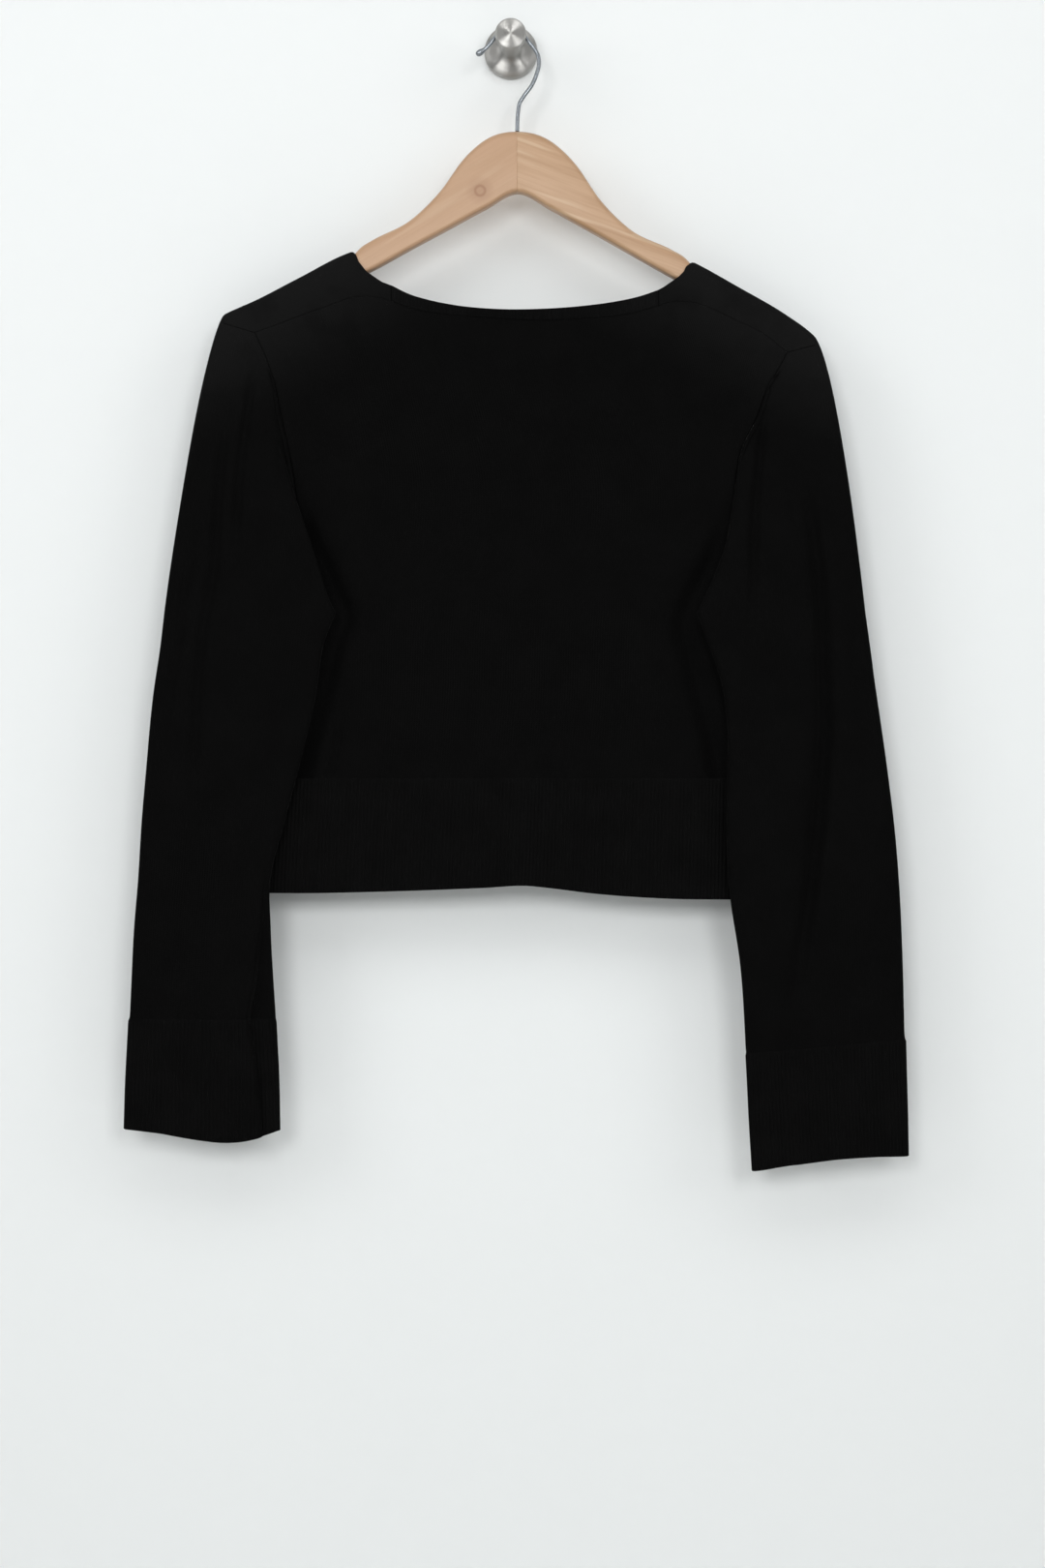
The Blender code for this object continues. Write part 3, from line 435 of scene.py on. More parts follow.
def creaseRelief(points, facing, creases):
    # each crease: its line (x, z), depth (below 0 for a ridge), half width, and the shares
    # of its length over which it starts and ends
    relief = np.zeros(points.shape[:2])
    place = points[..., [0, 2]]
    for line, depth, wide, start, end in creases:
        line = np.array(line, float)
        knots = lengthsAlong(line)
        at = np.linspace(0, knots[-1], max(24, int(knots[-1] / 4)))
        path = np.stack([smooth(knots, line[:, k], at) for k in (0, 1)], -1)
        low, high = path.min(0) - 3 * wide, path.max(0) + 3 * wide
        close = np.all((place > low) & (place < high), axis=-1) & (facing > 0)
        spot = place[close]
        if not len(spot):
            continue
        ahead = np.diff(path, axis=0)
        size = (ahead**2).sum(-1)
        off = spot[:, None] - path[None, :-1]
        share = np.clip((off * ahead).sum(-1) / size, 0, 1)
        gap = np.linalg.norm(off - share[..., None] * ahead, axis=-1)
        nearest = gap.argmin(1)
        rows = np.arange(len(spot))
        along = (nearest + share[rows, nearest]) / len(ahead)
        shape = np.exp(-((gap[rows, nearest] / wide) ** 2))
        ends = ease(along / max(start, 1e-3)) * ease((1 - along) / max(end, 1e-3))
        relief[close] -= depth * shape * ends
    return relief * facing


def slackRelief(points, size, seed):
    # slow uneven waves of hanging cloth
    x, z = points[..., 0], points[..., 2]
    waves = (np.sin(x / 31 + z / 97 + seed) + 0.7 * np.sin(x / 17 - z / 61 + 2.1 * seed)
             + 0.5 * np.sin(z / 23 + x / 53 + 3.7 * seed))
    return size * waves / 2.2


cloth = {
    "knit": 1.3,  # thickness of the plain knit
    "rib": 1.5,
    "ribRise": 0.7,
    "ribPitch": 2.6,
    "midY": -38.0,  # plane of the hanger
    "shoulderRadius": 7.05,
    "ribTop": -528.6,
    "hem": -607.0,
    "bicep": -412.0,
    "vPoint": -345.0,
    "closing": -4.0,
    "slack": 0.35,
}

ridgeLine = table("x z", [
    (-208, -199.8), (-200, -195.8), (-183, -188.3), (-150, -171.3), (-117.4, -154.6),
    (-112.6, -152.8), (129.8, -160.2), (163, -178.6), (196, -197.9), (213, -210.2),
    (221, -217.7)])
backSeamLine = table("x z", [
    (-182, -212.2), (-168, -207.2), (-136, -195.3), (-105, -186.4), (-93, -187.6),
    (-67, -196), (-27, -200.8), (20, -203.3), (53, -202.1), (85, -198.7), (103, -193.9),
    (116, -190), (129, -190.8), (162, -204.2), (178, -211.8), (196.8, -226.2)])
neckEdgeLine = table("x z", [
    (-84.4, -178.6), (-72.6, -184.4), (-57.7, -188.9), (-40, -192.4), (-10, -195.2),
    (24, -195), (53.4, -192.8), (72.9, -190.2), (92.4, -186), (104.7, -181.8)])
leftSide = {
    "out": -1, "tipX": -204, "join": (-182, -212.2), "neckX": -112.6,
    "bandEnd": -84.4, "foldZ": -306, "armpitZ": -401,
    "neckDrop": (7.8, 2.6), "lean": 3.9,
    "line": table("z x", [
        (-616, -190.5), (-530, -186), (-470, -181.5), (-412, -179), (-401, -177.5),
        (-392, -167), (-371, -157), (-347, -153), (-320, -153.5), (-300, -157),
        (-271, -163.5), (-250, -167.5), (-230, -174), (-212, -182)])}
rightSide = {
    "out": 1, "tipX": 216.4, "join": (196.8, -226.2), "neckX": 129.8,
    "bandEnd": 104.7, "foldZ": -308, "armpitZ": -403,
    "neckDrop": (3.9, 2.2), "lean": 6.2,
    "line": table("z x", [
        (-616, 176.5), (-530, 178), (-470, 179.5), (-414, 180.5), (-403, 179),
        (-393, 170), (-371, 163), (-345, 160), (-312, 160.5), (-297, 163.3),
        (-272, 175.3), (-251, 183), (-238, 190.5), (-226, 196.8)])}
sides = {"Left": leftSide, "Right": rightSide}
bodyDepth = table("z middle edge", [
    (-620, 9.5, 0), (-528, 9, 0), (-404, 8.5, 0), (-385, 8.5, 1.6),
    (-350, 8.3, 5.2), (-310, 8, 6.9), (-250, 7.05, 7.05), (-150, 7.05, 7.05)])
hemLine = table("x z wave", [
    (-191, -610, 0), (-150, -610.2, -1), (-85, -609, 1), (-19, -606.4, -1.5),
    (12, -605, -1.5), (26, -606.5, 2), (58, -610.4, 1), (110, -614, -1),
    (177, -614.8, 0)])
armpitShare, foldShare = 0.41, 0.7


def backSeam(x):
    return smooth(backSeamLine["x"], backSeamLine["z"], x)


def neckEdge(x):
    return smooth(neckEdgeLine["x"], neckEdgeLine["z"], x)


def hemEdge(x):
    return smooth(hemLine["x"], hemLine["z"], x)


def sideX(side, z):
    return smooth(side["line"]["z"], side["line"]["x"], z)


def shoulderFoot(x):
    return smooth(ridgeLine["x"], ridgeLine["z"], x) - 0.75 - cloth["shoulderRadius"]


def sideLevel(side, v, top):
    levels = [cloth["ribTop"], side["armpitZ"], side["foldZ"], top]
    return np.interp(v, [0, armpitShare, foldShare, 1], levels)


def halfDepth(z, share):
    edge = np.interp(z, bodyDepth["z"], bodyDepth["edge"])
    middle = np.interp(z, bodyDepth["z"], bodyDepth["middle"])
    share = np.clip(np.abs(share), 0, 1)
    closedSide = (1 - share**4) ** 0.25
    return edge + (middle - edge) * blend(closedSide, 1 - share**8, ease(edge))


def hemWave(x, z):
    return smooth(hemLine["x"], hemLine["wave"], x) * ease((-430 - z) / 150)


def backY(x, level, share):
    return cloth["midY"] - 0.15 - halfDepth(level, share) + hemWave(x, level)


def frontY(x, level, share):
    return cloth["midY"] + 0.15 + halfDepth(level, share) + 0.5 * hemWave(x, level)


def backSurface(u, v):
    zLeft = sideLevel(leftSide, v, leftSide["join"][1])
    zRight = sideLevel(rightSide, v, rightSide["join"][1])
    x = blend(sideX(leftSide, zLeft), sideX(rightSide, zRight), u)
    level = blend(zLeft, zRight, u)
    flatTop = blend(leftSide["join"][1], rightSide["join"][1], u)
    seam = backSeam(blend(leftSide["join"][0], rightSide["join"][0], u))
    z = level + v**2 * (seam - flatTop)
    return np.stack([x, backY(x, level, 2 * u - 1), z], -1)


def backHemSurface(u, v):
    xLow = blend(sideX(leftSide, cloth["hem"]), sideX(rightSide, cloth["hem"]), u)
    xHigh = blend(sideX(leftSide, cloth["ribTop"]), sideX(rightSide, cloth["ribTop"]), u)
    x = blend(xLow, xHigh, v)
    z = blend(hemEdge(x), cloth["ribTop"], v)
    return np.stack([x, backY(x, z, 2 * u - 1), z], -1)


def armholeX(side, z):
    low, high = side["armpitZ"] + 150, shoulderFoot(side["tipX"])
    share = np.clip((z - low) / (high - low), 0, 1)
    return sideX(side, np.minimum(z, low)) + (side["tipX"] - sideX(side, low)) * share**1.6


def frontEdgeX(side, z, closed):
    high = shoulderFoot(side["neckX"])
    share = np.clip((z - cloth["vPoint"]) / (high - cloth["vPoint"]), 0, 1)
    return closed + (side["neckX"] - closed) * share**1.15


def frontSurface(side):
    # v 0 to 1 up the front, 1 to 2 over the shoulder, 2 to 3 down to the seam on the back
    out, join, radius = side["out"], side["join"], cloth["shoulderRadius"]
    tipZ, neckZ = shoulderFoot(side["tipX"]), shoulderFoot(side["neckX"])
    end = side["bandEnd"]
    endTop = neckEdge(end)
    neckPath = table("down x z", [
        (0.0, side["neckX"], neckZ),
        (0.3, side["neckX"] - out * 10, neckZ - side["neckDrop"][0]),
        (0.62, side["neckX"] - out * 21, endTop + side["neckDrop"][1]),
        (0.8, end, endTop), (1.0, end, backSeam(end))])

    def surface(u, v):
        low, over, down = np.clip(v, 0, 1), np.clip(v - 1, 0, 1), np.clip(v - 2, 0, 1)
        xTop = blend(side["tipX"], side["neckX"], u)
        foot = shoulderFoot(xTop)
        zSide, zNeck = sideLevel(side, low, tipZ), blend(cloth["ribTop"], neckZ, low)
        level = blend(zSide, zNeck, u)
        closed = cloth["closing"] + out * 0.3
        x = blend(armholeX(side, zSide), frontEdgeX(side, zNeck, closed), u)
        z = level + low**3 * (foot - blend(tipZ, neckZ, u))
        upFront = np.stack([x, frontY(x, level, 1 - u), z], -1)
        y = cloth["midY"] + radius * np.cos(over * pi)
        lean = out * side["lean"] * u**4  # the neck's corner slants towards the back
        overArm = np.stack([xTop - lean * ease(2 * over - 1), y,
                            foot + radius * np.sin(over * pi)], -1)
        xSeam = blend(join[0], end, u)
        xz = [blend(xTop, xSeam, down), blend(foot, backSeam(xSeam), down)]
        for k, name in enumerate(("x", "z")):
            path = np.interp(down, neckPath["down"], neckPath[name])
            straight = blend(neckPath[name][0], neckPath[name][-1], down)
            xz[k] = xz[k] + u**2 * (path - straight)
        xz[0] = xz[0] - lean * np.clip(1 - down / 0.3, 0, 1)
        downBack = np.stack([xz[0], np.full_like(u, cloth["midY"] - radius), xz[1]], -1)
        v = v[..., None]
        return np.where(v <= 1, upFront, np.where(v <= 2, overArm, downBack))

    return surface


def frontHemSurface(side):
    closed = cloth["closing"] + side["out"] * 0.3

    def surface(u, v):
        xLow = blend(sideX(side, cloth["hem"]), closed, u)
        xHigh = blend(sideX(side, cloth["ribTop"]), closed, u)
        x = blend(xLow, xHigh, v)
        z = blend(hemEdge(x), cloth["ribTop"], v)
        return np.stack([x, frontY(x, z, 1 - u), z], -1)

    return surface


def neckbandSurface(u, v):
    x = blend(leftSide["bandEnd"], rightSide["bandEnd"], u)
    z = blend(backSeam(x), neckEdge(x), v)
    return np.stack([x, np.full_like(x, cloth["midY"] - cloth["shoulderRadius"]), z], -1)


def declare(piece, node):
    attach(piece, "root")
    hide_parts(node)


# Back panel. Creases are in millimetres, where the photograph shows them.
backPanel = {
    "columns": 190,
    "rows": 170,
    "creases": [
        ([(-122, -484), (-124, -508), (-130, -532)], 2.6, 3.2, 0.4, 0.2),
        ([(-129, -486), (-132, -506), (-137, -526)], -0.9, 4, 0.5, 0.3),
        ([(26, -470), (30, -500), (28, -529)], 0.9, 6, 0.5, 0.1),
        ([(-160, -328), (-142, -361), (-126, -395), (-118, -412), (-125, -433),
          (-135, -471), (-144, -505), (-153, -540)], 6, 7, 0.12, 0.08),
        ([(151, -333), (145, -371), (131, -397), (123, -419), (130, -450), (141, -491),
          (151, -540)], 6, 8, 0.25, 0.08),
        ([(-172, -232), (-128, -258), (-72, -280)], 0.7, 9, 0.2, 0.6),
        ([(186, -246), (142, -268), (84, -288)], 0.7, 9, 0.2, 0.6),
        ([(-60, -214), (-20, -226), (42, -228), (86, -215)], 0.6, 7, 0.4, 0.4),
    ],
}


def clearOfSleeves(points, relief):
    # nothing stands out towards the sleeves where they lie on the body
    x, z = points[..., 0], points[..., 2]
    middle = np.minimum(x - sideX(leftSide, z), sideX(rightSide, z) - x)
    share = ease((middle - 38) / 30)
    return np.where(relief > 0, relief * share, relief * ease(middle / 12))


def makeBack():
    us = (1 - np.cos(np.linspace(0, pi, backPanel["columns"]))) / 2
    us = blend(us, np.linspace(0, 1, backPanel["columns"]), 0.6)
    vs = nearEdges(np.linspace(0, 1, backPanel["rows"]), 318)
    points, normals = sample(backSurface, us, vs)
    facing = np.ones(points.shape[:2])
    fold = creaseRelief(points, facing, backPanel["creases"])
    fold = clearOfSleeves(points, fold + slackRelief(points, cloth["slack"], 0.4))
    fold = fold * ease((1 - vs) * 9)[:, None]
    piece = shell("backPanel", points, normals, cloth["knit"], plainKnit, fold=fold,
                  edges=(0, 1.2, 0.5, 0.5))
    declare(piece, "back")


hemBand = {"perRib": 6, "rows": 44, "edge": 0.8, "fadeIn": 2.5, "height": 80}


def makeHem(name, node, surface, sign):
    us, ribs = ribShares(surface, hemBand["perRib"])
    vs = nearEdges(np.linspace(0, 1, hemBand["rows"]), hemBand["height"])
    points, normals = sample(surface, us, vs)
    down = (1 - vs) * hemBand["height"]
    rib = ribRelief(ribs, len(us), len(vs), down) * ease(down / hemBand["fadeIn"])[:, None]
    fold = slackRelief(points, cloth["slack"], 0.4) * ease(1 - vs)[:, None]
    fold = clearOfSleeves(points, fold)
    piece = shell(name, points, sign * normals, cloth["rib"], ribKnit, rib=rib, fold=fold,
                  innerStep=4, edges=(hemBand["edge"], 0, 0.4, 0.4))
    declare(piece, node)


neckband = {"perRib": 6, "rows": 9, "height": 10, "rise": 0.8}


def makeNeckband():
    us, ribs = ribShares(neckbandSurface, neckband["perRib"])
    vs = nearEdges(np.linspace(0, 1, neckband["rows"]), neckband["height"], (0.1, 0.35, 0.8))
    points, normals = sample(neckbandSurface, us, vs)
    rib = ribRelief(ribs, len(us), len(vs), (1 - vs) * neckband["height"])
    rib = rib * neckband["rise"]
    piece = shell("backNeckband", points, normals, cloth["rib"], ribKnit, rib=rib,
                  innerStep=4, edges=(1.2, 0.8, 0.4, 0.4))
    declare(piece, "back_neckband")


frontPanel = {
    "columns": 90,
    "rows": 110,
    "shoulderRows": 26,
    "creasesLeft": [
        ([(-176, -230), (-140, -300), (-118, -380)], 1.4, 10, 0.3, 0.5),
        ([(-120, -190), (-98, -280), (-88, -400)], 1.2, 11, 0.3, 0.5),
        ([(-150, -410), (-118, -450), (-102, -520)], 1.2, 9, 0.4, 0.2),
        ([(-46, -380), (-40, -450), (-44, -520)], 1.1, 8, 0.5, 0.2),
    ],
    "creasesRight": [
        ([(190, -240), (150, -310), (124, -392)], 1.4, 10, 0.3, 0.5),
        ([(128, -196), (100, -290), (86, -410)], 1.1, 11, 0.3, 0.5),
        ([(156, -420), (120, -462), (100, -522)], 1.3, 9, 0.4, 0.2),
        ([(38, -400), (44, -460), (40, -522)], 1, 8, 0.5, 0.2),
    ],
}


def makeFront(word, side):
    us = 1 - np.cos(np.linspace(0, pi / 2, frontPanel["columns"]))
    us = blend(us, np.linspace(0, 1, len(us)), 0.5)
    few = frontPanel["shoulderRows"]
    vs = np.unique(np.concatenate([
        np.linspace(0, 1, frontPanel["rows"]), np.linspace(1, 2, few)[1:],
        np.linspace(2, 3, few)[1:], [0.0005, 0.0015, 0.003],
        3 - np.array([0.004, 0.012, 0.03, 0.05])]))  # extra rows for the rounded edges
    points, normals = sample(frontSurface(side), us, vs)
    normals = side["out"] * normals
    hidden = ease(1 - vs)[:, None] * np.ones(points.shape[:2])
    fold = creaseRelief(points, ease(hidden * 8), frontPanel["creases" + word])
    fold = fold + slackRelief(points, cloth["slack"], 1.9) * ease(hidden * 4)
    fold = np.where(us[None, :] > 0.9, fold * ease((1 - us) * 10)[None, :], fold)
    name = "front" + word
    piece = shell(name, points, normals, cloth["knit"], plainKnit, fold=fold,
                  edges=(0, 1.2, 0.5, 0.9))
    declare(piece, "front_" + word.lower())


frontBand = {"width": 12.0, "wall": 1.5, "rise": 0.4, "rows": 120, "length": 470,
             "lap": 0.3, "buttonStand": 1.4}
solidHem = {"halfWall": 0.85, "ridge": 0.6, "gap": 0.3}  # the bands stand off the hem's ribs
bandLift = sum(solidHem.values()) + frontBand["wall"] / 2


def bandSurface(side, over):
    out = side["out"]
    top = float(shoulderFoot(side["neckX"])) - 1.0

    def surface(u, v):
        z = blend(hemEdge(cloth["closing"]), top, v)
        inner = frontEdgeX(side, z, cloth["closing"] - out * frontBand["width"] / 2)
        slant = blend(1.0, 1.16, ease((z - cloth["vPoint"]) / 30))
        x = inner + out * frontBand["width"] * slant * (1 - u)
        lap = frontBand["wall"] + frontBand["rise"] + frontBand["lap"] if over else 0.0
        lift = bandLift + lap * ease((cloth["vPoint"] + 60 - z) / 40)
        return np.stack([x, frontY(x, z, 0.0) + lift, z], -1)

    return surface


def makeFrontBand(word, side):
    us, ribs = ribShares(bandSurface(side, word == "Right"), 6)
    vs = nearEdges(np.linspace(0, 1, frontBand["rows"]), frontBand["length"])
    points, normals = sample(bandSurface(side, word == "Right"), us, vs)
    rib = ribRelief(ribs, len(us), len(vs), vs * frontBand["length"])
    rib = rib * frontBand["rise"] / cloth["ribRise"]
    piece = shell("frontBand" + word, points, side["out"] * normals, frontBand["wall"],
                  ribKnit, rib=rib, innerStep=4)
    declare(piece, "front_band_" + word.lower())


makeBack()
makeNeckband()
makeHem("hemBack", "hem_rib_back", backHemSurface, 1)
for word, side in sides.items():
    makeFront(word, side)
    makeHem("hemFront" + word, "hem_rib_front_" + word.lower(), frontHemSurface(side),
            side["out"])
    makeFrontBand(word, side)
print("body made")

sleeveNames = "zOut zIn xOut xIn xFold yOut yIn halfDepth drop"
sleeveLeft = {
    "side": leftSide, "kind": "step", "bow": (8, 1.7),
    "pull": {"away1": 9, "away2": 9.8, "up2": 6.0},
    "rows": table(sleeveNames, [
        (-412, -412, -245, -124, -140, -47, -58, 7, 0),
        (-431, -431, -247.2, -131.5, -147, -47, -58, 7, 0),
        (-470, -470, -253, -138, -154, -47, -57.5, 7, 0),
        (-525, -525, -258.2, -151, -165, -47, -57, 7, 0),
        (-560, -560, -261.3, -160.5, -171, -47, -57, 7, 0),
        (-600, -600, -264, -170.3, -175, -47, -57, 7, 1.5),
        (-636, -636, -267, -170, -178, -47, -56, 7.5, 7),
        (-676, -676, -269, -168, -183, -46, -54, 8, 9),
        (-698.8, -698.8, -270.2, -166.8, -187, -45, -52, 8, 9),
        (-735, -735.5, -272.3, -165.2, -182, -44, -51, 8, 8.5),
        (-778, -778.2, -273.8, -164.4, -178, -44, -50, 8, 8)]),
    "creases": [
        ([(-163, -284), (-162.5, -309), (-164.5, -323)], 1.2, 3, 0.3, 0.4),
        ([(-193, -247), (-199.5, -269), (-205, -307), (-207.5, -338), (-209, -375),
          (-217, -423), (-221, -461), (-223, -512), (-221, -590)], 3.4, 3.6, 0.2, 0.35),
        ([(-181.5, -229), (-183.5, -246), (-188.5, -283), (-192, -313), (-193.5, -345),
          (-194.5, -391)], 3.6, 3.3, 0.15, 0.35),
        ([(-222, -335), (-227.5, -375), (-234, -423), (-240, -464), (-246, -500),
          (-249, -570)], 2.8, 3.9, 0.2, 0.45),
        ([(-176, -262), (-177, -300), (-180, -350)], -1, 5, 0.4, 0.5),
        ([(-190, -420), (-192, -470), (-197, -520), (-204, -580)], -0.9, 7, 0.4, 0.4),
        ([(-208, -300), (-214, -350), (-222, -400)], -0.7, 5, 0.4, 0.4),
        ([(-236, -600), (-240, -650), (-243, -700)], 1, 7, 0.4, 0.3),
        ([(-205, -600), (-207, -650), (-211, -700)], 0.9, 6, 0.4, 0.3),
    ],
    "hidden": [
        ([(-228, -270), (-222, -340), (-212, -420), (-206, -500)], 1.3, 8, 0.3, 0.5),
        ([(-244, -420), (-236, -500), (-238, -600), (-245, -690)], 1.2, 7, 0.4, 0.3),
        ([(-200, -600), (-206, -650), (-204, -698)], 1, 7, 0.5, 0.2),
    ],
    "cuffCreases": [
        ([(-184.5, -712), (-181.8, -734), (-179, -756), (-178.4, -779)], 0.8, 3, 0.3, 0.01),
        ([(-243, -700), (-245, -740), (-247, -786)], 0.9, 6, 0.1, 0.01),
        ([(-214, -700), (-215, -740), (-213, -786)], 0.7, 5, 0.1, 0.01),
    ],
}
sleeveRight = {
    "side": rightSide, "kind": "trough", "bow": (-3.4, 0.87),
    "pull": {"away1": -2.5, "up1": -6, "away2": 10.8, "up2": 7.0},
    "rows": table(sleeveNames, [
        (-412, -412, 251.3, 131.8, 222, -47, -58, 7, 2.5),
        (-438, -438, 255, 141.6, 222, -47, -58, 7, 3),
        (-464, -465, 258.4, 150.2, 222.5, -47, -58, 7, 3.8),
        (-484, -486, 261.3, 153, 222.5, -47, -57.5, 7, 4.2),
        (-530, -534, 267.7, 153.2, 218.6, -47, -57, 7, 4),
        (-566, -571, 272.1, 153, 215, -47, -57, 7, 3.5),
        (-604, -610, 275.2, 155.6, 210.5, -47, -56, 7, 2.8),
        (-650, -658, 277.5, 162.8, 204.5, -46, -54, 7.5, 2.2),
        (-713.2, -722.8, 279.6, 167.3, 195.5, -45, -52, 8, 2.4),
        (-757, -766.5, 280.9, 169.6, 192, -44, -51, 8, 2.6),
        (-797.2, -806.8, 281.8, 172, 190, -44, -50, 8, 2.6)]),
    "creases": [
        ([(181, -254), (176.5, -303), (172.8, -341), (171.8, -382), (170, -412),
          (166, -448)], 4.2, 3.3, 0.2, 0.4),
        ([(208, -306), (213.5, -348), (219, -392), (221.5, -444), (222.5, -488),
          (219, -545), (213, -600), (205, -655), (196, -716)], 5.2, 4.6, 0.15, 0.3),
        ([(196, -262), (199, -300), (203, -345), (204, -400)], 0.9, 6, 0.3, 0.5),
        ([(240, -380), (247, -440), (250, -500), (250, -560)], 0.9, 6, 0.4, 0.4),
        ([(204, -430), (204, -490), (200, -550), (194, -610)], -0.9, 7, 0.4, 0.4),
        ([(186, -440), (182, -500), (180, -560)], 0.8, 6, 0.4, 0.5),
        ([(246, -620), (250, -670), (252, -716)], 0.9, 6, 0.4, 0.3),
    ],
    "hidden": [
        ([(236, -280), (230, -350), (222, -430), (216, -510)], 1.3, 8, 0.3, 0.5),
        ([(254, -430), (246, -510), (250, -610), (256, -700)], 1.2, 7, 0.4, 0.3),
        ([(208, -600), (214, -660), (212, -712)], 1, 7, 0.5, 0.2),
    ],
    "cuffCreases": [
        ([(196, -722), (196, -760), (198, -806)], 0.9, 4.5, 0.1, 0.01),
        ([(261, -714), (262, -750), (262, -798)], 0.9, 4.5, 0.1, 0.01),
        ([(230, -716), (231, -760), (230, -800)], 0.5, 6, 0.1, 0.01),
    ],
}
sleeveShape = {
    "columns": 216,
    "capRows": 70,
    "armRows": 120,
    "cuffRow": 8,  # row of the tables where the cuff starts
    "stepWidth": 2.5,
    "troughWidth": 9.0,
    "pastSide": 2.4,
    "ribWall": 1.55,
    "knitWall": 0.75,
    "air": 0.4,
    "turnSteps": 720,
    "pullColumns": 1.6,
}
# Columns of a sleeve run from its outer edge round the camera's side to the fold, over it,
# to the inner edge and back along the wall's side.
foldColumn, innerColumn, armpitColumn, roundColumns = 10, 16, 23, 30
capStart = table("column off near", [
    (0, 0.05, 0), (15, 0.1, 0), (16, 0.9, 1.6), (17, 0, 2.6), (22, 0, 2.6),
    (23, 2.4, 1), (24, 0.6, 0), (30, 0.1, 0)])
capHandles = table("column away1 near1 up1 away2 near2 up2", [
    (0, 14.3, 2, -22, -7.8, 0, 62), (6, 13, 3, -16, -6, 0, 60),
    (12, 10, 2.5, -18, -2, 0, 40), (15, 5, 5, -24, 2.5, 0, 26),
    (16, 3, 6, -26, 4.2, 0, 20), (18, -5, 4, -12, 1, 0, 14),
    (21, -2, 3, -5, 0, 0, 8), (23, 3, 2, -3, 0, 0, 4),
    (26, 16, 0, -8, 0, -3, 30), (30, 14.3, 2, -22, -7.8, 0, 62)])


def sectionLine(sleeve, zOut):
    rows = sleeve["rows"]
    row = {name: smooth(-rows["zOut"], rows[name], -zOut) for name in rows}
    turn = sleeveShape["turnSteps"]
    angle = np.linspace(0, 2 * pi, turn + 1)
    along, thick = flatter(np.cos(angle), 0.8), flatter(np.sin(angle), 0.8)
    across = (1 - along) / 2
    width = abs(row["xOut"] - row["xIn"])
    fold = abs(row["xFold"] - row["xOut"]) / width
    past = (across - fold) * width
    if sleeve["kind"] == "step":
        dip = ease(past / sleeveShape["stepWidth"])
    else:
        dip = np.exp(-((past / sleeveShape["troughWidth"]) ** 2))
    depth = row["halfDepth"] - np.where(thick > 0, row["drop"] * dip, 0)
    line = np.stack([blend(row["xOut"], row["xIn"], across),
                     blend(row["yOut"], row["yIn"], across) - depth * thick,
                     blend(zOut, row["zIn"], across)], -1)
    length = lengthsAlong(line)
    return line, length, length[np.searchsorted(across[:turn // 2 + 1], fold)], length[turn // 2]


def sectionPoints(sleeve, zOut, columns):
    line, length, atFold, atInner = sectionLine(sleeve, zOut)
    aside = sleeveShape["stepWidth"] / 2 + 0.6 if sleeve["kind"] == "step" else 0.0
    knots = [0, foldColumn, foldColumn + 1, innerColumn, roundColumns]
    places = [0, atFold - aside / 3, atFold + sleeveShape["stepWidth"] + aside, atInner,
              length[-1]]
    at = np.interp(columns, knots, places)
    return np.stack([np.interp(at, length, line[:, k]) for k in range(3)], -1)


def armholeEdge(side, columns):
    front = frontSurface(side)
    seamSide = 0.0 if side["out"] < 0 else 1.0
    overV = np.interp(columns, [0, 1, 4], [1.5, 2, 3])
    backV = np.interp(columns, [4, 16, 23], [1, foldShare, armpitShare])
    upV = np.interp(columns, [23, 29, 30], [armpitShare, 1, 1.5])
    over, overNormal = sample(front, [0], np.append(overV, 3.0))
    back, backNormal = sample(backSurface, [seamSide], backV)
    up, upNormal = sample(front, [0], np.append(upV, 3.0))
    isOver, isBack = (columns < 4)[:, None], (columns <= 23)[:, None]
    out = side["out"]
    line = np.where(isOver, over[:-1, 0], np.where(isBack, back[:, 0], up[:-1, 0]))
    normal = np.where(isOver, out * overNormal[:-1, 0],
                      np.where(isBack, backNormal[:, 0], out * upNormal[:-1, 0]))
    tangent = np.roll(line, -1, 0) - np.roll(line, 1, 0)
    off = unit(np.cross(tangent, normal))
    off = off * np.sign(off @ (out, 0, -0.3))[:, None]
    near = np.abs(columns - armpitColumn) < 0.6
    off[near] = (out, 0, 0)
    return line, normal, off


def clearOfBack(points):
    x, z = points[..., 0], points[..., 2]
    # the walls of the back, half a sleeve's wall and the air between them
    aside = sleeveShape["pastSide"]
    left, right = sideX(leftSide, z) - aside, sideX(rightSide, z) + aside
    share = (2 * x - left - right) / (right - left)
    wall = np.where(z < cloth["ribTop"] + 8, sleeveShape["ribWall"], sleeveShape["knitWall"])
    limit = cloth["midY"] - 0.15 - halfDepth(z, share) + hemWave(x, z)
    limit = limit - wall - sleeveShape["air"] - sleeveShape["knitWall"]
    crosses = (np.abs(share) < 1) & (z > -625)
    points[..., 1] = np.where(crosses, np.minimum(points[..., 1], limit), points[..., 1])
    return points, crosses


def tubeNormals(grid):
    across = np.roll(grid, -1, 1) - np.roll(grid, 1, 1)
    return unit(np.cross(across, np.gradient(grid, axis=0)))


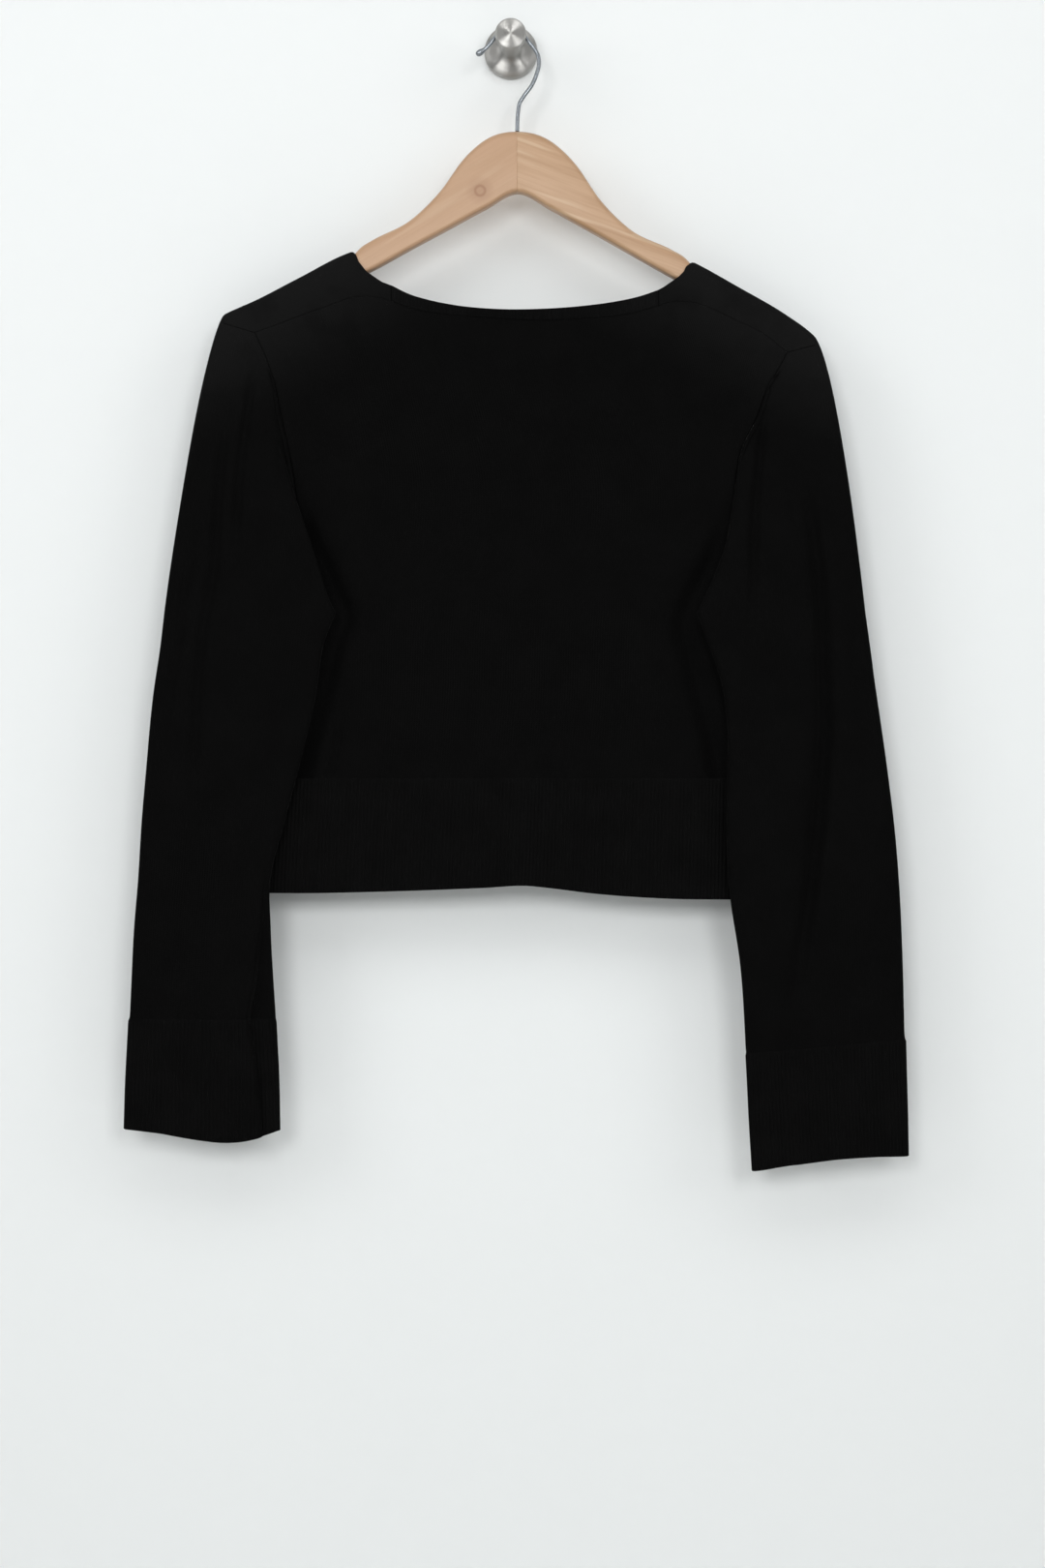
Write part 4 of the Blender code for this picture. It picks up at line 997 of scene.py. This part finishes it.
def makeSleeve(word, sleeve):
    side, out = sleeve["side"], sleeve["side"]["out"]
    columns = np.arange(sleeveShape["columns"]) / sleeveShape["columns"] * roundColumns
    edge, facing, off = armholeEdge(side, columns)
    end = sectionPoints(sleeve, cloth["bicep"], columns)
    read = {name: smooth(capHandles["column"], capHandles[name], columns)
            for name in capHandles}
    for name, size in sleeve["pull"].items():  # how far the fold's edge stands off the armhole
        read[name] = read[name] + size * np.exp(
            -(((columns - innerColumn) / sleeveShape["pullColumns"]) ** 2))

    def handle(number):
        return np.stack([out * read["away" + number], -read["near" + number],
                         read["up" + number]], -1)

    start = edge
    for name, direction in (("off", off), ("near", facing)):
        start = start + direction * np.interp(columns, capStart["column"],
                                              capStart[name])[:, None]
    first, second = start + handle("1"), end + handle("2")
    shares = np.linspace(0, 1, sleeveShape["capRows"]) ** 1.15
    shares = np.unique(np.concatenate([shares, [0.0006, 0.0015, 0.003]]))
    t = shares[:, None, None]
    cap = (start * (1 - t) ** 3 + 3 * first * t * (1 - t) ** 2
           + 3 * second * t**2 * (1 - t) + end * t**3)
    cuffTop = sleeve["rows"]["zOut"][sleeveShape["cuffRow"]]
    levels = blend(cloth["bicep"], cuffTop, np.linspace(0, 1, sleeveShape["armRows"])[1:])
    levels = np.sort(np.append(levels, cuffTop + np.array([0.1, 0.3, 0.6])))[::-1]
    arm = np.array([sectionPoints(sleeve, z, columns) for z in levels])
    grid = np.concatenate([cap, arm])
    behind = columns > innerColumn + 0.3
    cleared, crosses = clearOfBack(grid[1:][:, behind])
    grid[1:, behind] = cleared
    normals = out * tubeNormals(grid)
    flat = (columns < innerColumn) | (columns > armpitColumn)
    normals[0] = np.where(flat[:, None], facing, normals[0])
    for row in (1, 2, 3, 4):
        normals[row] = unit(blend(normals[0], normals[6], row / 6))

    toCamera = ease(-normals[..., 1] * 2.5)
    toWall = ease(normals[..., 1] * 2.5)
    overBody = np.zeros(grid.shape[:2], bool)
    overBody[1:, behind] = crosses
    fold = creaseRelief(grid, toCamera, sleeve["creases"])
    fold += creaseRelief(grid, toWall, sleeve["hidden"]) * ~overBody
    fold += slackRelief(grid, cloth["slack"], 2.3 + out) * ~overBody
    down = lengthsAlong(grid[:, 20])
    fold = fold * ease(down / 14)[:, None] * ease((down[-1] - down) / 4)[:, None]
    piece = shell("sleeve" + word, grid, normals, cloth["knit"], plainKnit, closed=True,
                  fold=fold, edges=(0.5, 0))
    declare(piece, "sleeve_" + word.lower())


cuffBand = {"perRib": 6, "rows": 40}


def makeCuff(word, sleeve):
    out = sleeve["side"]["out"]
    tops = sleeve["rows"]["zOut"][sleeveShape["cuffRow"]:]
    levels = np.linspace(tops[0], tops[-1], cuffBand["rows"])
    levels = np.append(levels, [tops[0] - 0.1, tops[0] - 0.3, tops[0] - 0.7,
                                tops[-1] + 0.1, tops[-1] + 0.3, tops[-1] + 0.7])
    levels = np.sort(levels)[::-1]
    rows, ribs = [], 0
    for z in levels:
        line, length = sectionLine(sleeve, z)[:2]
        ribs = ribs or round(length[-1] / cloth["ribPitch"])
        far = line[sleeveShape["turnSteps"] // 2, 0]
        across = np.clip((line[:, 0] - line[0, 0]) / (far - line[0, 0]), 0, 1)
        low = np.clip((tops[1] - z) / (tops[1] - tops[2]), 0, 1)
        line[:, 2] -= sleeve["bow"][0] * low * np.sin(pi * across ** sleeve["bow"][1])
        count = ribs * cuffBand["perRib"]
        at = np.arange(count) / count * length[-1]
        rows.append(np.stack([np.interp(at, length, line[:, k]) for k in range(3)], -1))
    grid = np.array(rows)
    normals = out * tubeNormals(grid)
    rib = ribRelief(ribs, grid.shape[1], len(levels), tops[0] - levels, True)
    rib = rib * ease((tops[0] - levels) / hemBand["fadeIn"])[:, None]
    fold = creaseRelief(grid, ease(-normals[..., 1] * 2.5), sleeve["cuffCreases"])
    piece = shell("cuff" + word, grid, normals, cloth["rib"], ribKnit, closed=True, rib=rib,
                  fold=fold, innerStep=4, edges=(0, 0.8))
    declare(piece, "cuff_" + word.lower())


for word, sleeve in (("Left", sleeveLeft), ("Right", sleeveRight)):
    makeSleeve(word, sleeve)
    makeCuff(word, sleeve)
print("sleeves made")


def ringMesh(name, rings, material):
    # a solid through closed rings of equal size
    rings = np.asarray(rings)
    around = np.linalg.norm(np.diff(rings, axis=1), axis=-1).cumsum(1)
    around = np.concatenate([np.zeros((len(rings), 1)), around], 1)
    middle = rings.mean(1)
    along = np.linalg.norm(np.diff(middle, axis=0), axis=-1)
    outward = np.abs(np.diff(np.linalg.norm(rings - middle[:, None], axis=-1).mean(1)))
    along = np.append(0, np.cumsum(np.hypot(along, outward)))
    weave = np.stack([around, np.broadcast_to(along[:, None], around.shape)], -1)
    ids = np.arange(rings[..., 0].size).reshape(rings.shape[:2])
    faces = gridFaces(ids, True) + [ids[0].tolist()[::-1], ids[-1].tolist()]
    return makeMesh(name, rings.reshape(-1, 3), faces, material, weave.reshape(-1, 2),
                    float(around[:, -1].mean()))


hanger = {
    "thick": 12.0,
    "joint": 4.6,  # x of the mitre
    "gap": 0.03,
    "drop": 2.2,  # top of the wood below the cloth's top line
    "stations": 150,
    "turnSteps": 26,
    "arms": table("x top bottom", [
        (-199, -203, -206.5), (-196, -198.7, -213), (-183, -191.5, -206),
        (-150, -174.5, -191), (-112.6, -156.4, -174), (-107, -150.3, -171),
        (-100, -145.8, -167.5), (-69, -128.8, -150.5), (-49, -108.5, -139.8),
        (-34, -87.6, -131.6), (-17, -72.8, -122.4), (4.6, -67.6, -111.6),
        (29, -74.6, -123.4), (46, -90.4, -132.8), (64, -116.3, -142.8),
        (84, -136.2, -154.2), (116, -152.4, -172.2), (124, -157.2, -176.6),
        (129.8, -163.3, -180), (163, -181.4, -198), (196, -200.7, -215.6),
        (206, -209, -223), (209, -213.5, -218)]),
    "taper": table("x share", [(0, 1), (180, 1), (196, 0.93), (204, 0.8), (209, 0.5)]),
}


def makeHangerHalf(name, node, start, end, material):
    arms = hanger["arms"]
    xs = blend(start, end, (1 - np.cos(np.linspace(0, pi, hanger["stations"]))) / 2)
    top = smooth(arms["x"], arms["top"], xs)
    bottom = smooth(arms["x"], arms["bottom"], xs)
    ridge = smooth(ridgeLine["x"], ridgeLine["z"], xs) - hanger["drop"]
    covered = (xs <= leftSide["neckX"]) | (xs >= rightSide["neckX"])
    top = np.where(covered, np.minimum(top, ridge), top)
    half = hanger["thick"] / 2 * np.interp(np.abs(xs), hanger["taper"]["x"],
                                           hanger["taper"]["share"])
    upper = np.linspace(0, pi, hanger["turnSteps"])
    lower = np.linspace(pi, 2 * pi, hanger["turnSteps"])[1:-1]
    inset = np.clip(1 - np.abs(xs - start) / 0.3, 0, 1) * 0.12  # eased edge at the mitre
    rings = []
    for x, high, low, wide, less in zip(xs, top, bottom, half, inset):
        high, low, wide = high - less, low + less, wide - less
        over, under = min(wide, (high - low) / 2), min(wide * 0.6, (high - low) / 2)
        y = wide * np.append(np.cos(upper), flatter(np.cos(lower), 0.5))
        z = np.append(high - over + over * np.sin(upper), low + under + under * np.sin(lower))
        rings.append(np.stack([np.full_like(y, x), cloth["midY"] + y, z], -1))
    piece = ringMesh(name, rings, material)
    declare(piece, node)


joint = hanger["gap"] / 2
makeHangerHalf("hangerLeft", "hanger_half_left", hanger["joint"] - joint, -199.0, woodLeft)
makeHangerHalf("hangerRight", "hanger_half_right", hanger["joint"] + joint, 209.0, woodRight)

hook = {
    "radius": 1.45,
    "around": 20,
    "stations": 220,
    "line": table("x z", [
        (-24.6, -12.6), (-19.5, -9.4), (-11.8, -1.2), (-8, 3.4), (-4.3, 7.5), (0, 8.7),
        (4.3, 7.5), (7.8, 3.7), (11.2, -1.2), (16, -7.2), (19.4, -12.8), (20.2, -19),
        (18.8, -25.4), (15.2, -34), (9.2, -42.4), (6.3, -47.4), (5.4, -52.5),
        (4.8, -60), (4.7, -67.2)]),
    "bead": table("along radius", [
        (0, 0.5), (0.4, 1.4), (1.2, 1.95), (2.4, 2.3), (3.8, 2.3), (5.2, 1.95), (6.6, 1.5),
        (7.5, 1.45)]),
}


def makeHook():
    knots = lengthsAlong(np.stack([hook["line"]["x"], hook["line"]["z"]], -1))
    at = np.linspace(0, knots[-1], hook["stations"])
    at = np.unique(np.append(at, [0.15, 0.3, 0.5, 0.8, 1.1, 1.5]))
    x, z = smooth(knots, hook["line"]["x"], at), smooth(knots, hook["line"]["z"], at)
    line = np.stack([x, np.full_like(x, cloth["midY"]), z], -1)
    ahead = unit(np.gradient(line, axis=0))
    ahead[-1] = (0, 0, -1)
    radius = np.interp(lengthsAlong(line), hook["bead"]["along"], hook["bead"]["radius"])
    angle = np.arange(hook["around"]) / hook["around"] * 2 * pi
    aside = np.cross(ahead, (0, 1, 0))
    rings = [p + r * (np.cos(angle)[:, None] * s + np.sin(angle)[:, None]
                      * np.array((0, 1, 0))) for p, r, s in zip(line, radius, aside)]
    piece = ringMesh("hangerHook", rings, drawnWire)
    declare(piece, "hanger_hook")


def turnedPiece(name, middle, profile, towards, segments, material):
    angle = np.arange(segments) / segments * 2 * pi
    rings = [np.stack([middle[0] + radius * np.cos(angle),
                       np.full(segments, middle[1] + towards * away),
                       middle[2] + radius * np.sin(angle)], -1) for away, radius in profile]
    return ringMesh(name, rings, material)


peg = {
    "segments": 96,
    "profile": [
        (0.0, 18.9), (0.2, 19.2), (0.6, 19.3), (2.0, 19.3), (4.0, 19.3), (5.0, 19.1),
        (5.8, 18.7), (6.5, 18.1), (7.1, 17.2), (7.6, 16.2), (7.9, 15.4), (8.0, 15.0),
        (8.25, 13.0), (8.5, 11.4), (8.8, 10.0), (9.3, 8.9), (10.0, 8.0), (11.0, 7.4),
        (12.4, 7.0), (14.0, 6.8), (16.0, 6.75), (28.0, 6.75), (41.6, 6.75), (42.0, 6.9),
        (42.2, 7.4), (42.35, 9.8), (42.5, 10.4), (42.8, 10.8), (43.3, 11.0), (44.5, 11.0),
        (46.4, 11.0), (47.1, 10.9), (47.6, 10.6), (47.85, 10.2), (48.0, 9.5), (48.0, 6.0),
        (48.0, 2.5), (48.0, 0.3)],
}
buttons = {
    "levels": [-352, -412, -472, -532, -592],
    "profile": [(0.0, 4.9), (0.3, 5.5), (0.8, 6.0), (1.6, 6.05), (2.3, 5.95), (2.75, 5.6),
                (3.0, 5.1), (2.95, 4.5), (2.7, 4.0), (2.6, 3.0), (2.6, 1.5), (2.6, 0.2)],
}

makeHook()
pegPiece = turnedPiece("wallPeg", (0, 0, 0), peg["profile"], -1, peg["segments"],
                       brushedSteel)
declare(pegPiece, "wall_peg")
buttonLift = bandLift + 1.5 * frontBand["wall"] + frontBand["buttonStand"]
for number, z in enumerate(buttons["levels"], 1):
    y = float(frontY(np.array(cloth["closing"]), np.array(float(z)), 0.0)) + buttonLift
    made = turnedPiece(f"shirtButton{number}", (cloth["closing"], y, z), buttons["profile"],
                       1, 48, buttonPlastic)
    declare(made, f"button_{number}")
print("hanger, hook, peg and buttons made")

room = {
    "wall": "#e7eaea",
    "wallGap": 0.0006,
    "wallTop": 2.5,
    "floor": "#dcdcdb",
    "floorLevel": -1.3,
    "reach": 4.0,
    "sky": "#f5f6f6",
    "skyStrength": 0.3,
    "light": "#ffffff",
    "lights": {  # place, aim, size and watts
        "frontLeft": ((-0.5, -2.5, 0.0), (0, 0, -0.4), (0.6, 0.6), 16),
        "frontRight": ((0.6, -2.5, 0.0), (0, 0, -0.4), (0.6, 0.6), 12.5),
        "softBoxLeft": ((-1.9, -1.5, 0.5), (0, 0, -0.4), (1.0, 1.5), 12),
        "softBoxRight": ((1.9, -1.5, 0.4), (0, 0, -0.4), (1.0, 1.5), 8),
        "softBoxTop": ((0, -1.6, 1.3), (0, 0, -0.2), (2.4, 1.0), 12),
        "backFill": ((0.3, 2.4, 0.6), (0, 0, -0.5), (2.5, 2.0), 26),
    },
    "camera": (0.00845, -1.75, -0.5327),
    "lens": 55.1,
}


def stagePlane(name, corners, colour, oneSided):
    mesh = bpy.data.meshes.new(name)
    mesh.from_pydata(corners, [], [(0, 1, 2, 3)])
    plane = bpy.data.objects.new(name, mesh)
    bpy.context.scene.collection.objects.link(plane)
    made, tree, shader = newMaterial(name + "Paint", {
        "Base Color": linear(colour), "Roughness": 0.9, "Specular IOR Level": 0.1})
    # matt emulsion on plaster: very slight roller texture, 2 mm
    grain = noise(tree, objectPlace(tree), 500.0, 2.0)
    addBump(tree, shader, grain, 0.03, 0.0005)
    if oneSided:  # seen from behind, the wall lets the back of the object show
        mix = addNode(tree, "ShaderNodeMixShader", None, {
            0: addNode(tree, "ShaderNodeNewGeometry").outputs["Backfacing"],
            1: shader.outputs[0],
            2: addNode(tree, "ShaderNodeBsdfTransparent").outputs[0]})
        tree.links.new(mix.outputs[0], tree.nodes["Material Output"].inputs["Surface"])
        plane.visible_shadow = False
    mesh.materials.append(made)


reach, level, gap, wallTop = (room[k] for k in ("reach", "floorLevel", "wallGap", "wallTop"))
stagePlane("wallBackdrop", [(-reach, gap, level), (reach, gap, level), (reach, gap, wallTop),
                            (-reach, gap, wallTop)], room["wall"], True)
stagePlane("floorPlane", [(-reach, -reach, level), (reach, -reach, level),
                          (reach, reach, level), (-reach, reach, level)], room["floor"], False)


def areaLight(name, place, aim, size, power):
    light = bpy.data.lights.new(name, "AREA")
    light.shape = "RECTANGLE"
    light.size, light.size_y = size
    light.energy = power
    light.color = linear(room["light"])[:3]
    made = bpy.data.objects.new(name, light)
    made.location = place
    ahead = np.array(aim, float) - np.array(place, float)
    yaw = np.arctan2(-ahead[0], ahead[1])
    pitch = np.arctan2(np.hypot(ahead[0], ahead[1]), -ahead[2])
    made.rotation_euler = (pitch, 0, yaw)
    bpy.context.scene.collection.objects.link(made)


for name, values in room["lights"].items():
    areaLight(name, *values)

world = bpy.data.worlds.new("paleRoom")
bpy.context.scene.world = world
world.use_nodes = True
sky = world.node_tree.nodes["Background"].inputs
sky["Color"].default_value = linear(room["sky"])
sky["Strength"].default_value = room["skyStrength"]

camera = bpy.data.cameras.new("photoCamera")
camera.sensor_fit = "VERTICAL"
camera.sensor_height = 36.0
camera.lens = room["lens"]
cameraObject = bpy.data.objects.new("photoCamera", camera)
cameraObject.location = room["camera"]
cameraObject.rotation_euler = (pi / 2, 0, 0)
bpy.context.scene.collection.objects.link(cameraObject)
bpy.context.scene.camera = cameraObject
bpy.context.scene.view_settings.view_transform = "Standard"
print("stage, lights and camera made")
